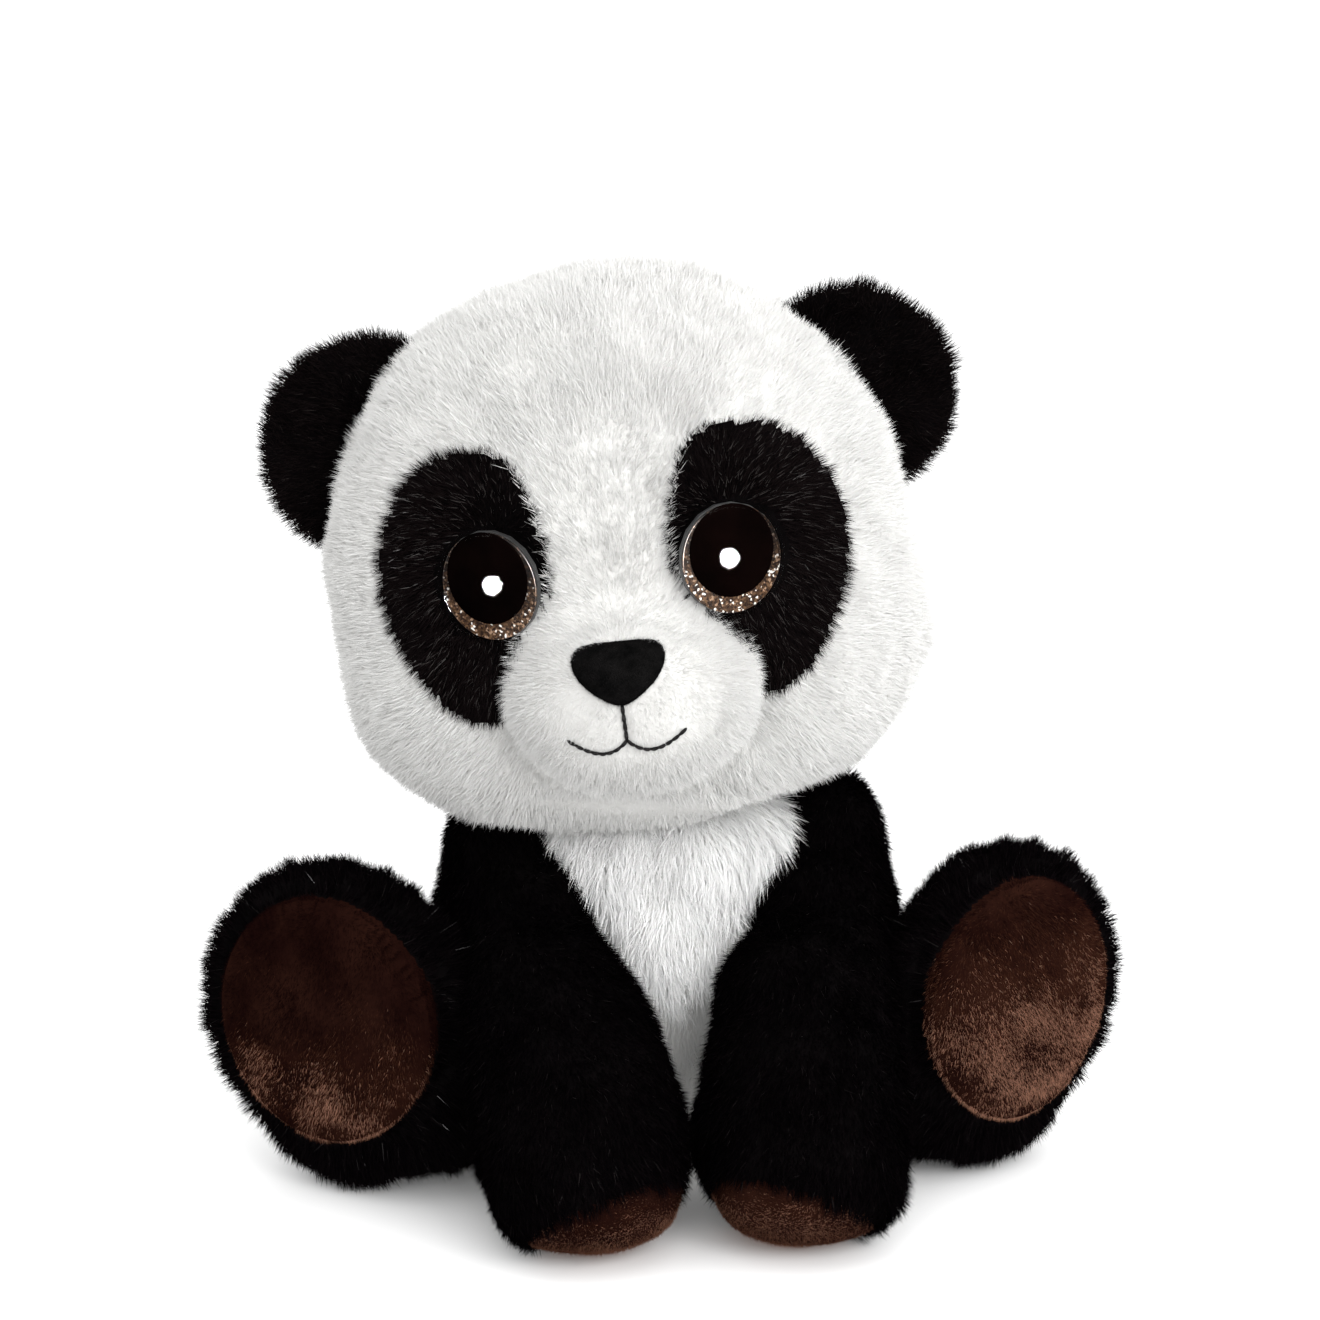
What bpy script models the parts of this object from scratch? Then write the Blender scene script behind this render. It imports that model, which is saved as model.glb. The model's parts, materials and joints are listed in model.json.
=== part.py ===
"""Seated plush panda: sewn panels, stuffing, safety eyes, and the flexible seams as joints.

All dimensions below are millimetres.  The panda faces -Y, its own left side is +X, the floor is z = 0.
"""
import math

import bmesh
import bpy
from mathutils import Euler, Matrix, Vector

MM = 0.001
ROUND_STEPS = 18          # points round each cross-section
GAP = 0.3                 # clearance between neighbouring pieces
CUT_REACH = 150.0         # how far the large cutters reach
MERGE_DISTANCE = 0.01     # points nearer than this become one
FRONT_TO_CENTRE = 24.3    # moves the toy back so that it stands over the origin

# Head: an egg that is wider and squarer below its widest line
HEAD_HALF_WIDTH = 71.5
HEAD_HALF_FRONT = 60.0
HEAD_HALF_BACK = 58.0
HEAD_WIDEST_Z = -14.0
HEAD_CROWN = 82.0
HEAD_CHIN = 54.0
CROWN_POWER = 2.0
CHIN_POWER = 2.6
HEAD_PLAN_POWER = 2.1
HEAD_CLOTH = 5.0
NECK_HOLE_SCALE = 0.33
HEAD_ABOVE_PIVOT = 59.0
NECK_PIVOT = (-3.0, -8.0, 92.5)
HEAD_TURN_DEG = -7.5
HEAD_TILT_DEG = -7.0
EAR_PLANE_Y = 6.0
STUFFING_LOWEST_SHARE = -0.995

# Muzzle, nose and mouth, from the centre of the head
MUZZLE_CENTRE = (0.0, -51.0, -24.0)
MUZZLE_RADII = (28.0, 22.5, 23.5)
MUZZLE_CLOTH = 2.5
MUZZLE_HOLE_DEPTH = -30.0
NOSE_CENTRE_Z = -17.6
NOSE_HALF_WIDTH = 10.0
NOSE_HALF_HEIGHT = 6.0
NOSE_THICKNESS = 3.0
THREAD_RADIUS = 0.45

# Safety eyes
EYE_CENTRE = (27.4, 2.3)
EYE_OUTWARD_DEG = 28.0
EYE_RADIUS = 12.75
EYE_DOME = 10.0
EYE_RIM = 1.6
EYE_SKIRT = 0.9
EYE_SINK = 0.8
PUPIL_RADIUS = 10.2
PUPIL_RISE = 1.1
SHANK_RADIUS = 2.0
SHANK_END = -15.2
WASHER_RADIUS = 8.0
WASHER_TOP = -7.6
WASHER_THICKNESS = 2.0

PATCH_CUT_DEPTH = -20.0

# Black patch round the panda's left eye, corner to corner (x, z) from the centre of the head
PATCH_OUTLINE = (
    (33, 30.5), (39, 29), (45.5, 24), (50, 17), (53, 8), (53.5, 0), (51.5, -9), (47.5, -17), (42, -25),
    (36, -29.5), (28, -30), (27, -22), (22.5, -11), (17, -4), (14, 1), (14, 10), (16, 20), (20, 28), (26, 31),
)

# Ears: round, cupped, sewn along a slanting seam at the side of the head
EAR_SEAM_CENTRE = (58.0, 3.0, 29.0)
EAR_SLANT_DEG = 30.4
EAR_RADIUS = 27.0
EAR_PROUD = 2.0
EAR_CUP = 5.0
EAR_EDGE = 1.3
EAR_SWELL = 2.6
EAR_CLEARANCE = 2.4

# Torso: (height, half width, middle of the depth); the depth is the width times a factor
TORSO_PROFILE = ((0.0, 36.0, 6.0), (4.0, 42.0, 6.0), (11.0, 46.5, 6.0), (22.0, 50.5, 6.0), (35.0, 52.0, 5.0),
                 (48.0, 50.5, 3.0), (58.0, 46.5, 0.0), (67.0, 40.5, -3.0), (74.0, 32.0, -6.0), (78.0, 26.0, -8.0))
TORSO_DEPTH_FACTOR = 0.88
TORSO_CLOTH = 4.0
TORSO_SEAM_Y = 10.0
PELLET_TOP = 24.0
BIB_CUT_DEPTH = -10.0
BIB_SEAM_SHARE = 0.985
BIB_OUTLINE = ((31, 95), (28, 84), (26, 73), (20, 65), (13, 58), (5, 49), (0, 44.5))

LIMB_CLEARANCE = 1.2
ARM_BED_DEGREES = (0, 14, 28)

# Neck
NECK_BALL = 16.5
NECK_STEM = 14.0
NECK_STEM_BOTTOM = 69.0
NECK_SOCKET = 21.5
NECK_THREAD_RING = 18.9
NECK_THREAD_RADIUS = 0.9
THREAD_SIDES = 5

# Arms: sections (x, y, z, half width, half thickness, degrees the arm points below level)
SHOULDER = (39.0, -14.0, 62.0)
SHOULDER_RADIUS = 16.5
ARM_AXIS = (-0.12, -0.86, -0.5)
ARM_SECTIONS = (
    (36.0, -27, 58.5, 15.5, 15.5, 31), (32.5, -39, 53, 18, 17, 31), (29.0, -50, 44, 21, 19.5, 34),
    (27.0, -61, 35, 22.5, 21, 42), (26.0, -70, 26, 22.5, 22, 54), (25.5, -77, 18.5, 22.3, 21.3, 66),
    (25.0, -80.5, 12.5, 21, 19.8, 73),
)
ARM_CLOTH = 3.0
PAW_DOME = 10.6

# Legs: sections (distance from hip, centre height, half width, half height)
HIP = (49.0, 8.0, 29.0)
HIP_RADIUS = 21.0
LEG_SPLAY_DEG = 38.0
LEG_SECTIONS = (
    (8.0, 28, 19, 20.5), (18.0, 29.5, 20, 23.5), (28.0, 34, 22.5, 30), (37.0, 38.5, 27, 37),
    (44.0, 39.8, 30.4, 39.3), (49.0, 39.8, 30.6, 38.6), (53.0, 40.5, 28.6, 34.5), (55.0, 42.0, 25.6, 30.0),
)
LEG_CLOTH = 3.5
SOLE_DOME = 4.0

COLOURS = {
    "white_plush": ((0.86, 0.86, 0.84), 0.9),
    "white_pile_bib": ((0.84, 0.84, 0.82), 0.9),
    "white_velour": ((0.86, 0.85, 0.82), 0.85),
    "black_plush": ((0.012, 0.010, 0.010), 0.85),
    "brown_satin_plush": ((0.075, 0.034, 0.020), 0.5),
    "black_velour": ((0.008, 0.008, 0.008), 0.9),
    "black_thread": ((0.010, 0.010, 0.010), 0.6),
    "white_thread": ((0.80, 0.80, 0.78), 0.6),
    "clear_acrylic": ((0.95, 0.95, 0.95), 0.05),
    "bronze_glitter_film": ((0.30, 0.17, 0.10), 0.35),
    "black_pupil_film": ((0.004, 0.004, 0.004), 0.25),
    "black_eye_plastic": ((0.015, 0.015, 0.015), 0.4),
    "washer_plastic": ((0.70, 0.70, 0.68), 0.4),
    "polyester_stuffing": ((0.90, 0.90, 0.90), 0.95),
    "pellet_bag_cloth": ((0.75, 0.73, 0.68), 0.9),
}


def clear_scene():
    """Leave nothing of the start-up scene behind."""
    for thing in list(bpy.data.objects):
        bpy.data.objects.remove(thing, do_unlink=True)


def new_collection(name):
    """Make a collection directly under the scene."""
    collection = bpy.data.collections.new(name)
    bpy.context.scene.collection.children.link(collection)
    return collection


def slot_material(slot):
    """Plain Principled material for one material slot."""
    material = bpy.data.materials.get(slot)
    if material is None:
        colour, roughness = COLOURS[slot]
        material = bpy.data.materials.new(slot)
        material.use_nodes = True
        shader = material.node_tree.nodes["Principled BSDF"]
        shader.inputs["Base Color"].default_value = (*colour, 1.0)
        shader.inputs["Roughness"].default_value = roughness
    return material


def pivot_empty(name, place, turn=(0.0, 0.0, 0.0)):
    """Empty that stands on a joint axis and carries the pieces that turn about it."""
    empty = bpy.data.objects.new(name, None)
    empty.empty_display_size = 0.01
    empty.location = Vector(place) * MM + Vector((0.0, FRONT_TO_CENTRE * MM, 0.0))
    empty.rotation_euler = Euler([math.radians(angle) for angle in turn])
    parts.objects.link(empty)
    return empty


def ellipse_ring(centre, across, up, half_across, half_up, power=2.0, half_down=None):
    """One cross-section; half_down, if given, replaces half_up on the far side."""
    if half_down is None:
        half_down = half_up
    ring = []
    for step in range(ROUND_STEPS):
        angle = 2 * math.pi * step / ROUND_STEPS
        cosine = math.cos(angle)
        sine = math.sin(angle)
        x = half_across * math.copysign(abs(cosine) ** (2 / power), cosine)
        reach = half_up if sine > 0 else half_down
        y = reach * math.copysign(abs(sine) ** (2 / power), sine)
        ring.append(Vector(centre) + Vector(across) * x + Vector(up) * y)
    return ring


def centre_of(ring):
    """Middle point of a ring."""
    return sum(ring, Vector()) / len(ring)


def loft(name, rings, slot, parent, offset=(0, 0, 0), tube=False, cutter=False):
    """Skin a row of rings into one closed body; a tube joins the last ring back to the first."""
    mesh = bpy.data.meshes.new(name)
    shape = bmesh.new()
    shift = Vector(offset)
    loops = [[shape.verts.new((point + shift) * MM) for point in ring] for ring in rings]
    pairs = list(zip(loops[:-1], loops[1:]))
    if tube:
        pairs.append((loops[-1], loops[0]))
    for first, second in pairs:
        for step in range(len(first)):
            after = (step + 1) % len(first)
            shape.faces.new((first[step], first[after], second[after], second[step]))
    if not tube:
        for loop, ring in ((loops[0], rings[0]), (loops[-1], rings[-1])):
            pole = shape.verts.new((centre_of(ring) + shift) * MM)
            for step in range(len(loop)):
                shape.faces.new((loop[step], loop[(step + 1) % len(loop)], pole))
    bmesh.ops.recalc_face_normals(shape, faces=shape.faces)
    shape.to_mesh(mesh)
    shape.free()
    return add_piece(name, mesh, slot, parent, cutter)


def add_piece(name, data, slot, parent, cutter=False):
    """Put a mesh or curve into the right collection, under its parent."""
    piece = bpy.data.objects.new(name, data)
    if cutter:
        cutters.objects.link(piece)
        piece.hide_render = True
        piece.display_type = "WIRE"
    else:
        parts.objects.link(piece)
        data.materials.append(slot_material(slot))
        if isinstance(data, bpy.types.Mesh):
            for face in data.polygons:
                face.use_smooth = True
    piece.parent = parent
    return piece


def carve(piece, cutter, operation="DIFFERENCE"):
    """Cut a piece with another closed body."""
    modifier = piece.modifiers.new("cut_" + cutter.name[:40], "BOOLEAN")
    modifier.operation = operation
    modifier.solver = "EXACT"
    modifier.object = cutter


def prism(name, outline, near, far, parent, offset=(0, 0, 0)):
    """Cutter that runs along Y between two depths with an (x, z) outline."""
    rings = [[Vector((x, depth, z)) for x, z in outline] for depth in (near, far)]
    return loft(name, rings, None, parent, offset, cutter=True)


def smooth_outline(corners, grow=0.0, side=1):
    """Closed rounded outline through corners, pushed outward by grow."""
    count = len(corners)
    middle_x = sum(corner[0] for corner in corners) / count
    middle_z = sum(corner[1] for corner in corners) / count
    outline = []
    for index in range(count):
        here = Vector(corners[index])
        nearer = Vector(corners[(index + 1) % count])
        for share in (0.25, 0.75):
            point = here.lerp(nearer, share)
            away = (point - Vector((middle_x, middle_z))).normalized()
            point = point + away * grow
            outline.append((side * point.x, point.y))
    return outline


def ellipse_outline(centre_x, centre_z, half_width, half_height):
    """(x, z) outline of an upright ellipse."""
    outline = []
    for step in range(ROUND_STEPS):
        angle = 2 * math.pi * step / ROUND_STEPS
        outline.append((centre_x + half_width * math.cos(angle), centre_z + half_height * math.sin(angle)))
    return outline


# ---- head -----------------------------------------------------------------------------------------

HEAD_OFFSET = (0.0, 0.0, HEAD_ABOVE_PIVOT)


def head_ring(height_share, inset=0.0):
    """Level ring of the head; the share runs from 1 at the crown to -1 under the chin."""
    power = CROWN_POWER if height_share > 0 else CHIN_POWER
    reach = HEAD_CROWN if height_share > 0 else HEAD_CHIN
    scale = (1 - abs(height_share) ** power) ** (1 / power)
    z = HEAD_WIDEST_Z + (reach - inset) * height_share
    return ellipse_ring((0, 0, z), (1, 0, 0), (0, 1, 0), (HEAD_HALF_WIDTH - inset) * scale,
                        (HEAD_HALF_BACK - inset) * scale, HEAD_PLAN_POWER, (HEAD_HALF_FRONT - inset) * scale)


def head_surface_y(x, z):
    """Depth of the front of the head at a point of the face."""
    above = z > HEAD_WIDEST_Z
    power = CROWN_POWER if above else CHIN_POWER
    share = abs(z - HEAD_WIDEST_Z) / (HEAD_CROWN if above else HEAD_CHIN)
    scale = (1 - share ** power) ** (1 / power)
    side = (abs(x) / (HEAD_HALF_WIDTH * scale)) ** HEAD_PLAN_POWER
    return -HEAD_HALF_FRONT * scale * (1 - side) ** (1 / HEAD_PLAN_POWER)


def height_shares(lowest):
    """Heights of the rings from crown to chin, closer together towards the ends."""
    count = 13
    top = math.radians(86)
    bottom = -math.asin(lowest)
    return [math.sin(top + (bottom - top) * step / (count - 1)) for step in range(count)]


def neck_hole_share():
    """Height share at which the head is as narrow as the neck hole."""
    return (1 - NECK_HOLE_SCALE ** CHIN_POWER) ** (1 / CHIN_POWER)


def head_shell(name, slot):
    """Whole cloth cover of the head, open underneath, ready to be cut into one panel."""
    shares = height_shares(neck_hole_share())
    outer = [head_ring(share) for share in shares]
    inner = [head_ring(share, HEAD_CLOTH) for share in reversed(shares)]
    return loft(name, outer + inner, slot, head_pivot, HEAD_OFFSET)


def half_space_cutter(name, seam_y, front, parent):
    """Large box that reaches to one side of an upright seam plane."""
    mesh = bpy.data.meshes.new(name)
    shape = bmesh.new()
    bmesh.ops.create_cube(shape, size=2 * CUT_REACH * MM)
    shape.to_mesh(mesh)
    shape.free()
    box = add_piece(name, mesh, None, parent, cutter=True)
    middle = seam_y - CUT_REACH if front else seam_y + CUT_REACH
    box.location = Vector((0.0, middle, 0.0)) * MM
    return box


def build_head():
    """Face, back, patches, muzzle and stuffing of the head."""
    muzzle_x, muzzle_y, muzzle_z = MUZZLE_CENTRE
    front = half_space_cutter("cut_face_side", EAR_PLANE_Y - GAP, True, head_pivot)
    back = half_space_cutter("cut_back_side", EAR_PLANE_Y, False, head_pivot)
    hole = ellipse_outline(muzzle_x, muzzle_z, MUZZLE_RADII[0] + GAP, MUZZLE_RADII[2] + GAP)
    muzzle_hole = prism("cut_muzzle_hole", hole, -CUT_REACH, MUZZLE_HOLE_DEPTH, head_pivot, HEAD_OFFSET)
    face = head_shell("head_face_panel", "white_plush")
    carve(face, front, "INTERSECT")
    carve(face, muzzle_hole)
    rear = head_shell("head_back_panel", "white_plush")
    carve(rear, back, "INTERSECT")

    inset = HEAD_CLOTH + GAP
    shares = height_shares(neck_hole_share()) + [STUFFING_LOWEST_SHARE]
    stuffing = loft("head_stuffing", [head_ring(share, inset) for share in shares], "polyester_stuffing",
                    head_pivot, HEAD_OFFSET)
    socket = sphere_cutter("cut_neck_socket", (0, 0, 0), NECK_SOCKET, head_pivot)
    carve(stuffing, socket)
    pocket = ellipse_outline(muzzle_x, muzzle_z, MUZZLE_RADII[0] + LIMB_CLEARANCE, MUZZLE_RADII[2] + LIMB_CLEARANCE)
    muzzle_pocket = prism("cut_muzzle_pocket", pocket, -CUT_REACH, muzzle_y + GAP, head_pivot, HEAD_OFFSET)
    carve(stuffing, muzzle_pocket)

    latitudes = [math.radians(angle) for angle in (84, 70, 55, 40, 25, 12, 0)]
    outer = [muzzle_ring(angle, 0.0) for angle in latitudes]
    inner = [muzzle_ring(angle, MUZZLE_CLOTH) for angle in reversed(latitudes)]
    loft("muzzle_panel", outer + inner, "white_velour", head_pivot, HEAD_OFFSET)
    filling = [muzzle_ring(angle, MUZZLE_CLOTH + GAP) for angle in latitudes]
    filling.append(muzzle_ring(0.0, MUZZLE_CLOTH + 2.0))
    loft("muzzle_stuffing", filling, "polyester_stuffing", head_pivot, HEAD_OFFSET)

    for side, word in ((1, "left"), (-1, "right")):
        patch = head_shell("eye_patch_" + word, "black_plush")
        inside = smooth_outline(PATCH_OUTLINE, -GAP / 2, side)
        outside = smooth_outline(PATCH_OUTLINE, GAP / 2, side)
        patch_area = prism("cut_patch_" + word, inside, -CUT_REACH, PATCH_CUT_DEPTH, head_pivot, HEAD_OFFSET)
        patch_hole = prism("cut_patch_hole_" + word, outside, -CUT_REACH, PATCH_CUT_DEPTH, head_pivot, HEAD_OFFSET)
        carve(patch, patch_area, "INTERSECT")
        carve(patch, muzzle_hole)
        carve(face, patch_hole)
        build_eye(side, word, patch, stuffing)


def muzzle_ring(angle, inset):
    """Ring of the muzzle dome; angle 0 is the rim, 90 degrees the tip."""
    x, y, z = MUZZLE_CENTRE
    scale = math.cos(angle)
    depth = (MUZZLE_RADII[1] - inset) * math.sin(angle)
    return ellipse_ring((x, y - depth, z), (1, 0, 0), (0, 0, 1), (MUZZLE_RADII[0] - inset) * scale,
                        (MUZZLE_RADII[2] - inset) * scale)


def muzzle_surface_y(x, z, lift):
    """Depth of the muzzle's front at (x, z), lifted off the cloth."""
    across = (x - MUZZLE_CENTRE[0]) / (MUZZLE_RADII[0] + lift)
    up = (z - MUZZLE_CENTRE[2]) / (MUZZLE_RADII[2] + lift)
    return MUZZLE_CENTRE[1] - (MUZZLE_RADII[1] + lift) * math.sqrt(1 - across * across - up * up)


def nose_ring(share, lift):
    """Ring of the nose, wide above and narrow below, at a share of its outline."""
    ring = []
    for step in range(ROUND_STEPS):
        angle = 2 * math.pi * step / ROUND_STEPS
        cosine = math.cos(angle)
        sine = math.sin(angle)
        x = NOSE_HALF_WIDTH * math.copysign(abs(cosine) ** 0.85, cosine) * (0.86 + 0.27 * sine) * share
        z = NOSE_CENTRE_Z + NOSE_HALF_HEIGHT * math.copysign(abs(sine) ** 0.85, sine) * share
        ring.append(Vector((x, muzzle_surface_y(x, z, lift), z)))
    return ring


def build_nose_and_mouth():
    """Padded nose and the embroidered mouth."""
    under = [nose_ring(share, GAP) for share in (0.15, 0.45, 0.75, 1.0)]
    over = []
    for share in (1.0, 0.96, 0.85, 0.68, 0.45, 0.15):
        swell = 0.9 + (NOSE_THICKNESS - 0.9) * math.sqrt(1 - share * share)
        over.append(nose_ring(share, GAP + swell))
    loft("nose_pad", under + over, "black_velour", head_pivot, HEAD_OFFSET)
    smile = ((-13.6, -32.6), (-11.2, -34.7), (-8.4, -36.3), (-5.4, -36.9), (-2.6, -36.2), (-0.7, -34.3),
             (0.7, -34.3), (2.6, -36.2), (5.4, -36.9), (8.4, -36.3), (11.2, -34.7), (13.6, -32.6))
    thread_curve("mouth_thread", smile)
    line = ((0.0, -24.8), (0.0, -27.0), (0.0, -29.2), (0.0, -31.4), (0.0, -33.0))
    thread_curve("lip_line_thread", line)


def thread_curve(name, points):
    """Thread that lies on the muzzle."""
    curve = bpy.data.curves.new(name, "CURVE")
    curve.dimensions = "3D"
    curve.bevel_depth = THREAD_RADIUS * MM
    curve.bevel_resolution = 1
    curve.use_fill_caps = True
    spline = curve.splines.new("POLY")
    spline.points.add(len(points) - 1)
    for place, (x, z) in zip(spline.points, points):
        y = muzzle_surface_y(x, z, THREAD_RADIUS + GAP)
        place.co = ((x + HEAD_OFFSET[0]) * MM, (y + HEAD_OFFSET[1]) * MM, (z + HEAD_OFFSET[2]) * MM, 1.0)
    add_piece(name, curve, "black_thread", head_pivot)


def turned(name, profile, slot, parent, centre, axis, loop=False, cutter=False):
    """Body of revolution; rows are (distance along the axis, radius), running down the outer side."""
    mesh = bpy.data.meshes.new(name)
    shape = bmesh.new()
    points = [shape.verts.new((radius * MM, 0.0, along * MM)) for along, radius in profile]
    for first, second in zip(points[:-1], points[1:]):
        shape.edges.new((first, second))
    if loop:
        shape.edges.new((points[-1], points[0]))
    shape.to_mesh(mesh)
    shape.free()
    piece = add_piece(name, mesh, slot, parent, cutter)
    piece.location = Vector(centre) * MM
    piece.rotation_euler = Vector(axis).to_track_quat("Z", "Y").to_euler()
    spin = piece.modifiers.new("turn", "SCREW")
    spin.steps = ROUND_STEPS
    spin.render_steps = ROUND_STEPS
    spin.use_merge_vertices = True
    spin.merge_threshold = MERGE_DISTANCE * MM
    return piece


def sphere_cutter(name, centre, radius, parent):
    """Ball-shaped cutter."""
    mesh = bpy.data.meshes.new(name)
    shape = bmesh.new()
    bmesh.ops.create_uvsphere(shape, u_segments=ROUND_STEPS, v_segments=ROUND_STEPS // 2, radius=radius * MM)
    shape.to_mesh(mesh)
    shape.free()
    ball = add_piece(name, mesh, None, parent, cutter=True)
    ball.location = Vector(centre) * MM
    return ball


def build_eye(side, word, patch, stuffing):
    """One safety eye: clear dome, pupil, glitter film, backing with shank, and its washer."""
    x, z = EYE_CENTRE
    turn = math.radians(EYE_OUTWARD_DEG)
    axis = Vector((side * math.sin(turn), -math.cos(turn), 0.0))
    centre = Vector((side * x, head_surface_y(x, z), z)) - axis * EYE_SINK + Vector(HEAD_OFFSET)

    def eye_part(name, slot, profile, rise=0.0, loop=False, cutter=False):
        place = centre + Vector((0.0, 0.0, rise))
        return turned(name + "_" + word, profile, slot, head_pivot, place, axis, loop, cutter)

    def disc(low, high, radius):
        return [(high, 0.0), (high, radius), (low, radius), (low, 0.0)]

    skirt = EYE_RADIUS - EYE_SKIRT
    dome = [(EYE_RIM + EYE_DOME, 0.0)]
    for angle in (78, 60, 40, 20, 0):
        tilt = math.radians(angle)
        dome.append((EYE_RIM + EYE_DOME * math.sin(tilt), EYE_RADIUS * math.cos(tilt)))
    dome += [(0.0, EYE_RADIUS), (0.0, skirt), (EYE_RIM, skirt), (EYE_RIM, 0.0)]
    eye_part("eye_lens", "clear_acrylic", dome)
    eye_part("eye_pupil", "black_pupil_film", disc(0.9, 1.3, PUPIL_RADIUS), PUPIL_RISE)
    eye_part("eye_glitter", "bronze_glitter_film", disc(0.2, 0.6, skirt - GAP))
    backing = disc(-1.4, -0.1, EYE_RADIUS - GAP)[:-1]
    backing += [(-1.5, SHANK_RADIUS), (SHANK_END, SHANK_RADIUS), (SHANK_END - 1.0, 1.0), (SHANK_END - 1.0, 0.0)]
    eye_part("eye_backing", "black_eye_plastic", backing)
    hole = SHANK_RADIUS + 0.2
    washer = [(WASHER_TOP, hole), (WASHER_TOP, WASHER_RADIUS), (WASHER_TOP - WASHER_THICKNESS, WASHER_RADIUS),
              (WASHER_TOP - WASHER_THICKNESS, hole)]
    eye_part("eye_washer", "washer_plastic", washer, loop=True)
    seat = eye_part("cut_eye_seat", None, disc(-1.8, 30.0, EYE_RADIUS + GAP), cutter=True)
    bore = eye_part("cut_eye_bore", None, disc(SHANK_END - 2.0, 0.0, SHANK_RADIUS + 0.5), cutter=True)
    pocket = eye_part("cut_washer_pocket", None, disc(SHANK_END - 2.0, 0.0, WASHER_RADIUS + 0.5), cutter=True)
    carve(patch, seat)
    carve(patch, bore)
    carve(stuffing, seat)
    carve(stuffing, pocket)


def build_ear(side, word):
    """Cupped ear of two cloth halves on an empty that stands on its seam."""
    slant = math.radians(EAR_SLANT_DEG)
    along = Vector((math.sin(slant), 0, -math.cos(slant)))
    outward = Vector((math.cos(slant), 0, math.sin(slant)))
    seam = Vector(EAR_SEAM_CENTRE)
    hinge = pivot_empty("ear_pivot_" + word, (0, 0, 0))
    hinge.parent = head_pivot
    hinge.location = (Vector((side * seam.x, seam.y, seam.z)) + Vector(HEAD_OFFSET)) * MM
    head_block = loft("cut_ear_base_" + word, [head_ring(share, -EAR_CLEARANCE) for share in height_shares(0.995)],
                      None, head_pivot, HEAD_OFFSET, cutter=True)

    def ear_ring(share, depth):
        ring = []
        for step in range(ROUND_STEPS):
            angle = 2 * math.pi * step / ROUND_STEPS
            place = outward * (EAR_PROUD + EAR_RADIUS * share * math.cos(angle))
            place = place + along * (EAR_RADIUS * share * math.sin(angle))
            ring.append(Vector((side * place.x, depth, place.z)))
        return ring

    shares = (0.2, 0.5, 0.75, 0.93, 1.0)
    for half, sign in (("front", -1), ("back", 1)):
        middle = [ear_ring(share, -EAR_CUP * share * share + sign * GAP / 2) for share in shares]
        outer = []
        for share in reversed(shares):
            swell = EAR_EDGE + EAR_SWELL * math.sqrt(1 - share * share)
            outer.append(ear_ring(share, -EAR_CUP * share * share + sign * swell))
        piece = loft("ear_" + half + "_" + word, middle + outer, "black_plush", hinge)
        carve(piece, head_block)


# ---- torso and neck --------------------------------------------------------------------------------

def torso_ring(row, inset=0.0):
    """Level ring of the torso for one row of its profile."""
    height, half_width, middle_y = row
    width = half_width - inset
    depth = half_width * TORSO_DEPTH_FACTOR - inset
    return ellipse_ring((0, middle_y, height), (1, 0, 0), (0, 1, 0), width, depth, 2.2)


def torso_row_at(height):
    """Profile row worked out between its neighbours."""
    for low, high in zip(TORSO_PROFILE[:-1], TORSO_PROFILE[1:]):
        if low[0] <= height <= high[0]:
            share = (height - low[0]) / (high[0] - low[0])
            return tuple(a + (b - a) * share for a, b in zip(low, high))
    return TORSO_PROFILE[-1]


def torso_profile_between(low, high):
    """Rows of the torso profile between two heights, with the ends worked out."""
    rows = [torso_row_at(low)]
    rows += [row for row in TORSO_PROFILE if low + 0.5 < row[0] < high - 0.5]
    rows.append(torso_row_at(high))
    return rows


def torso_shell(name, slot):
    """Cloth cover of the torso, flat underneath and open at the neck."""
    outer = [torso_ring(row) for row in TORSO_PROFILE]
    inner = [torso_ring(row, TORSO_CLOTH) for row in torso_profile_between(TORSO_CLOTH, TORSO_PROFILE[-1][0])]
    return loft(name, outer + inner[::-1], slot, torso_frame)


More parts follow.
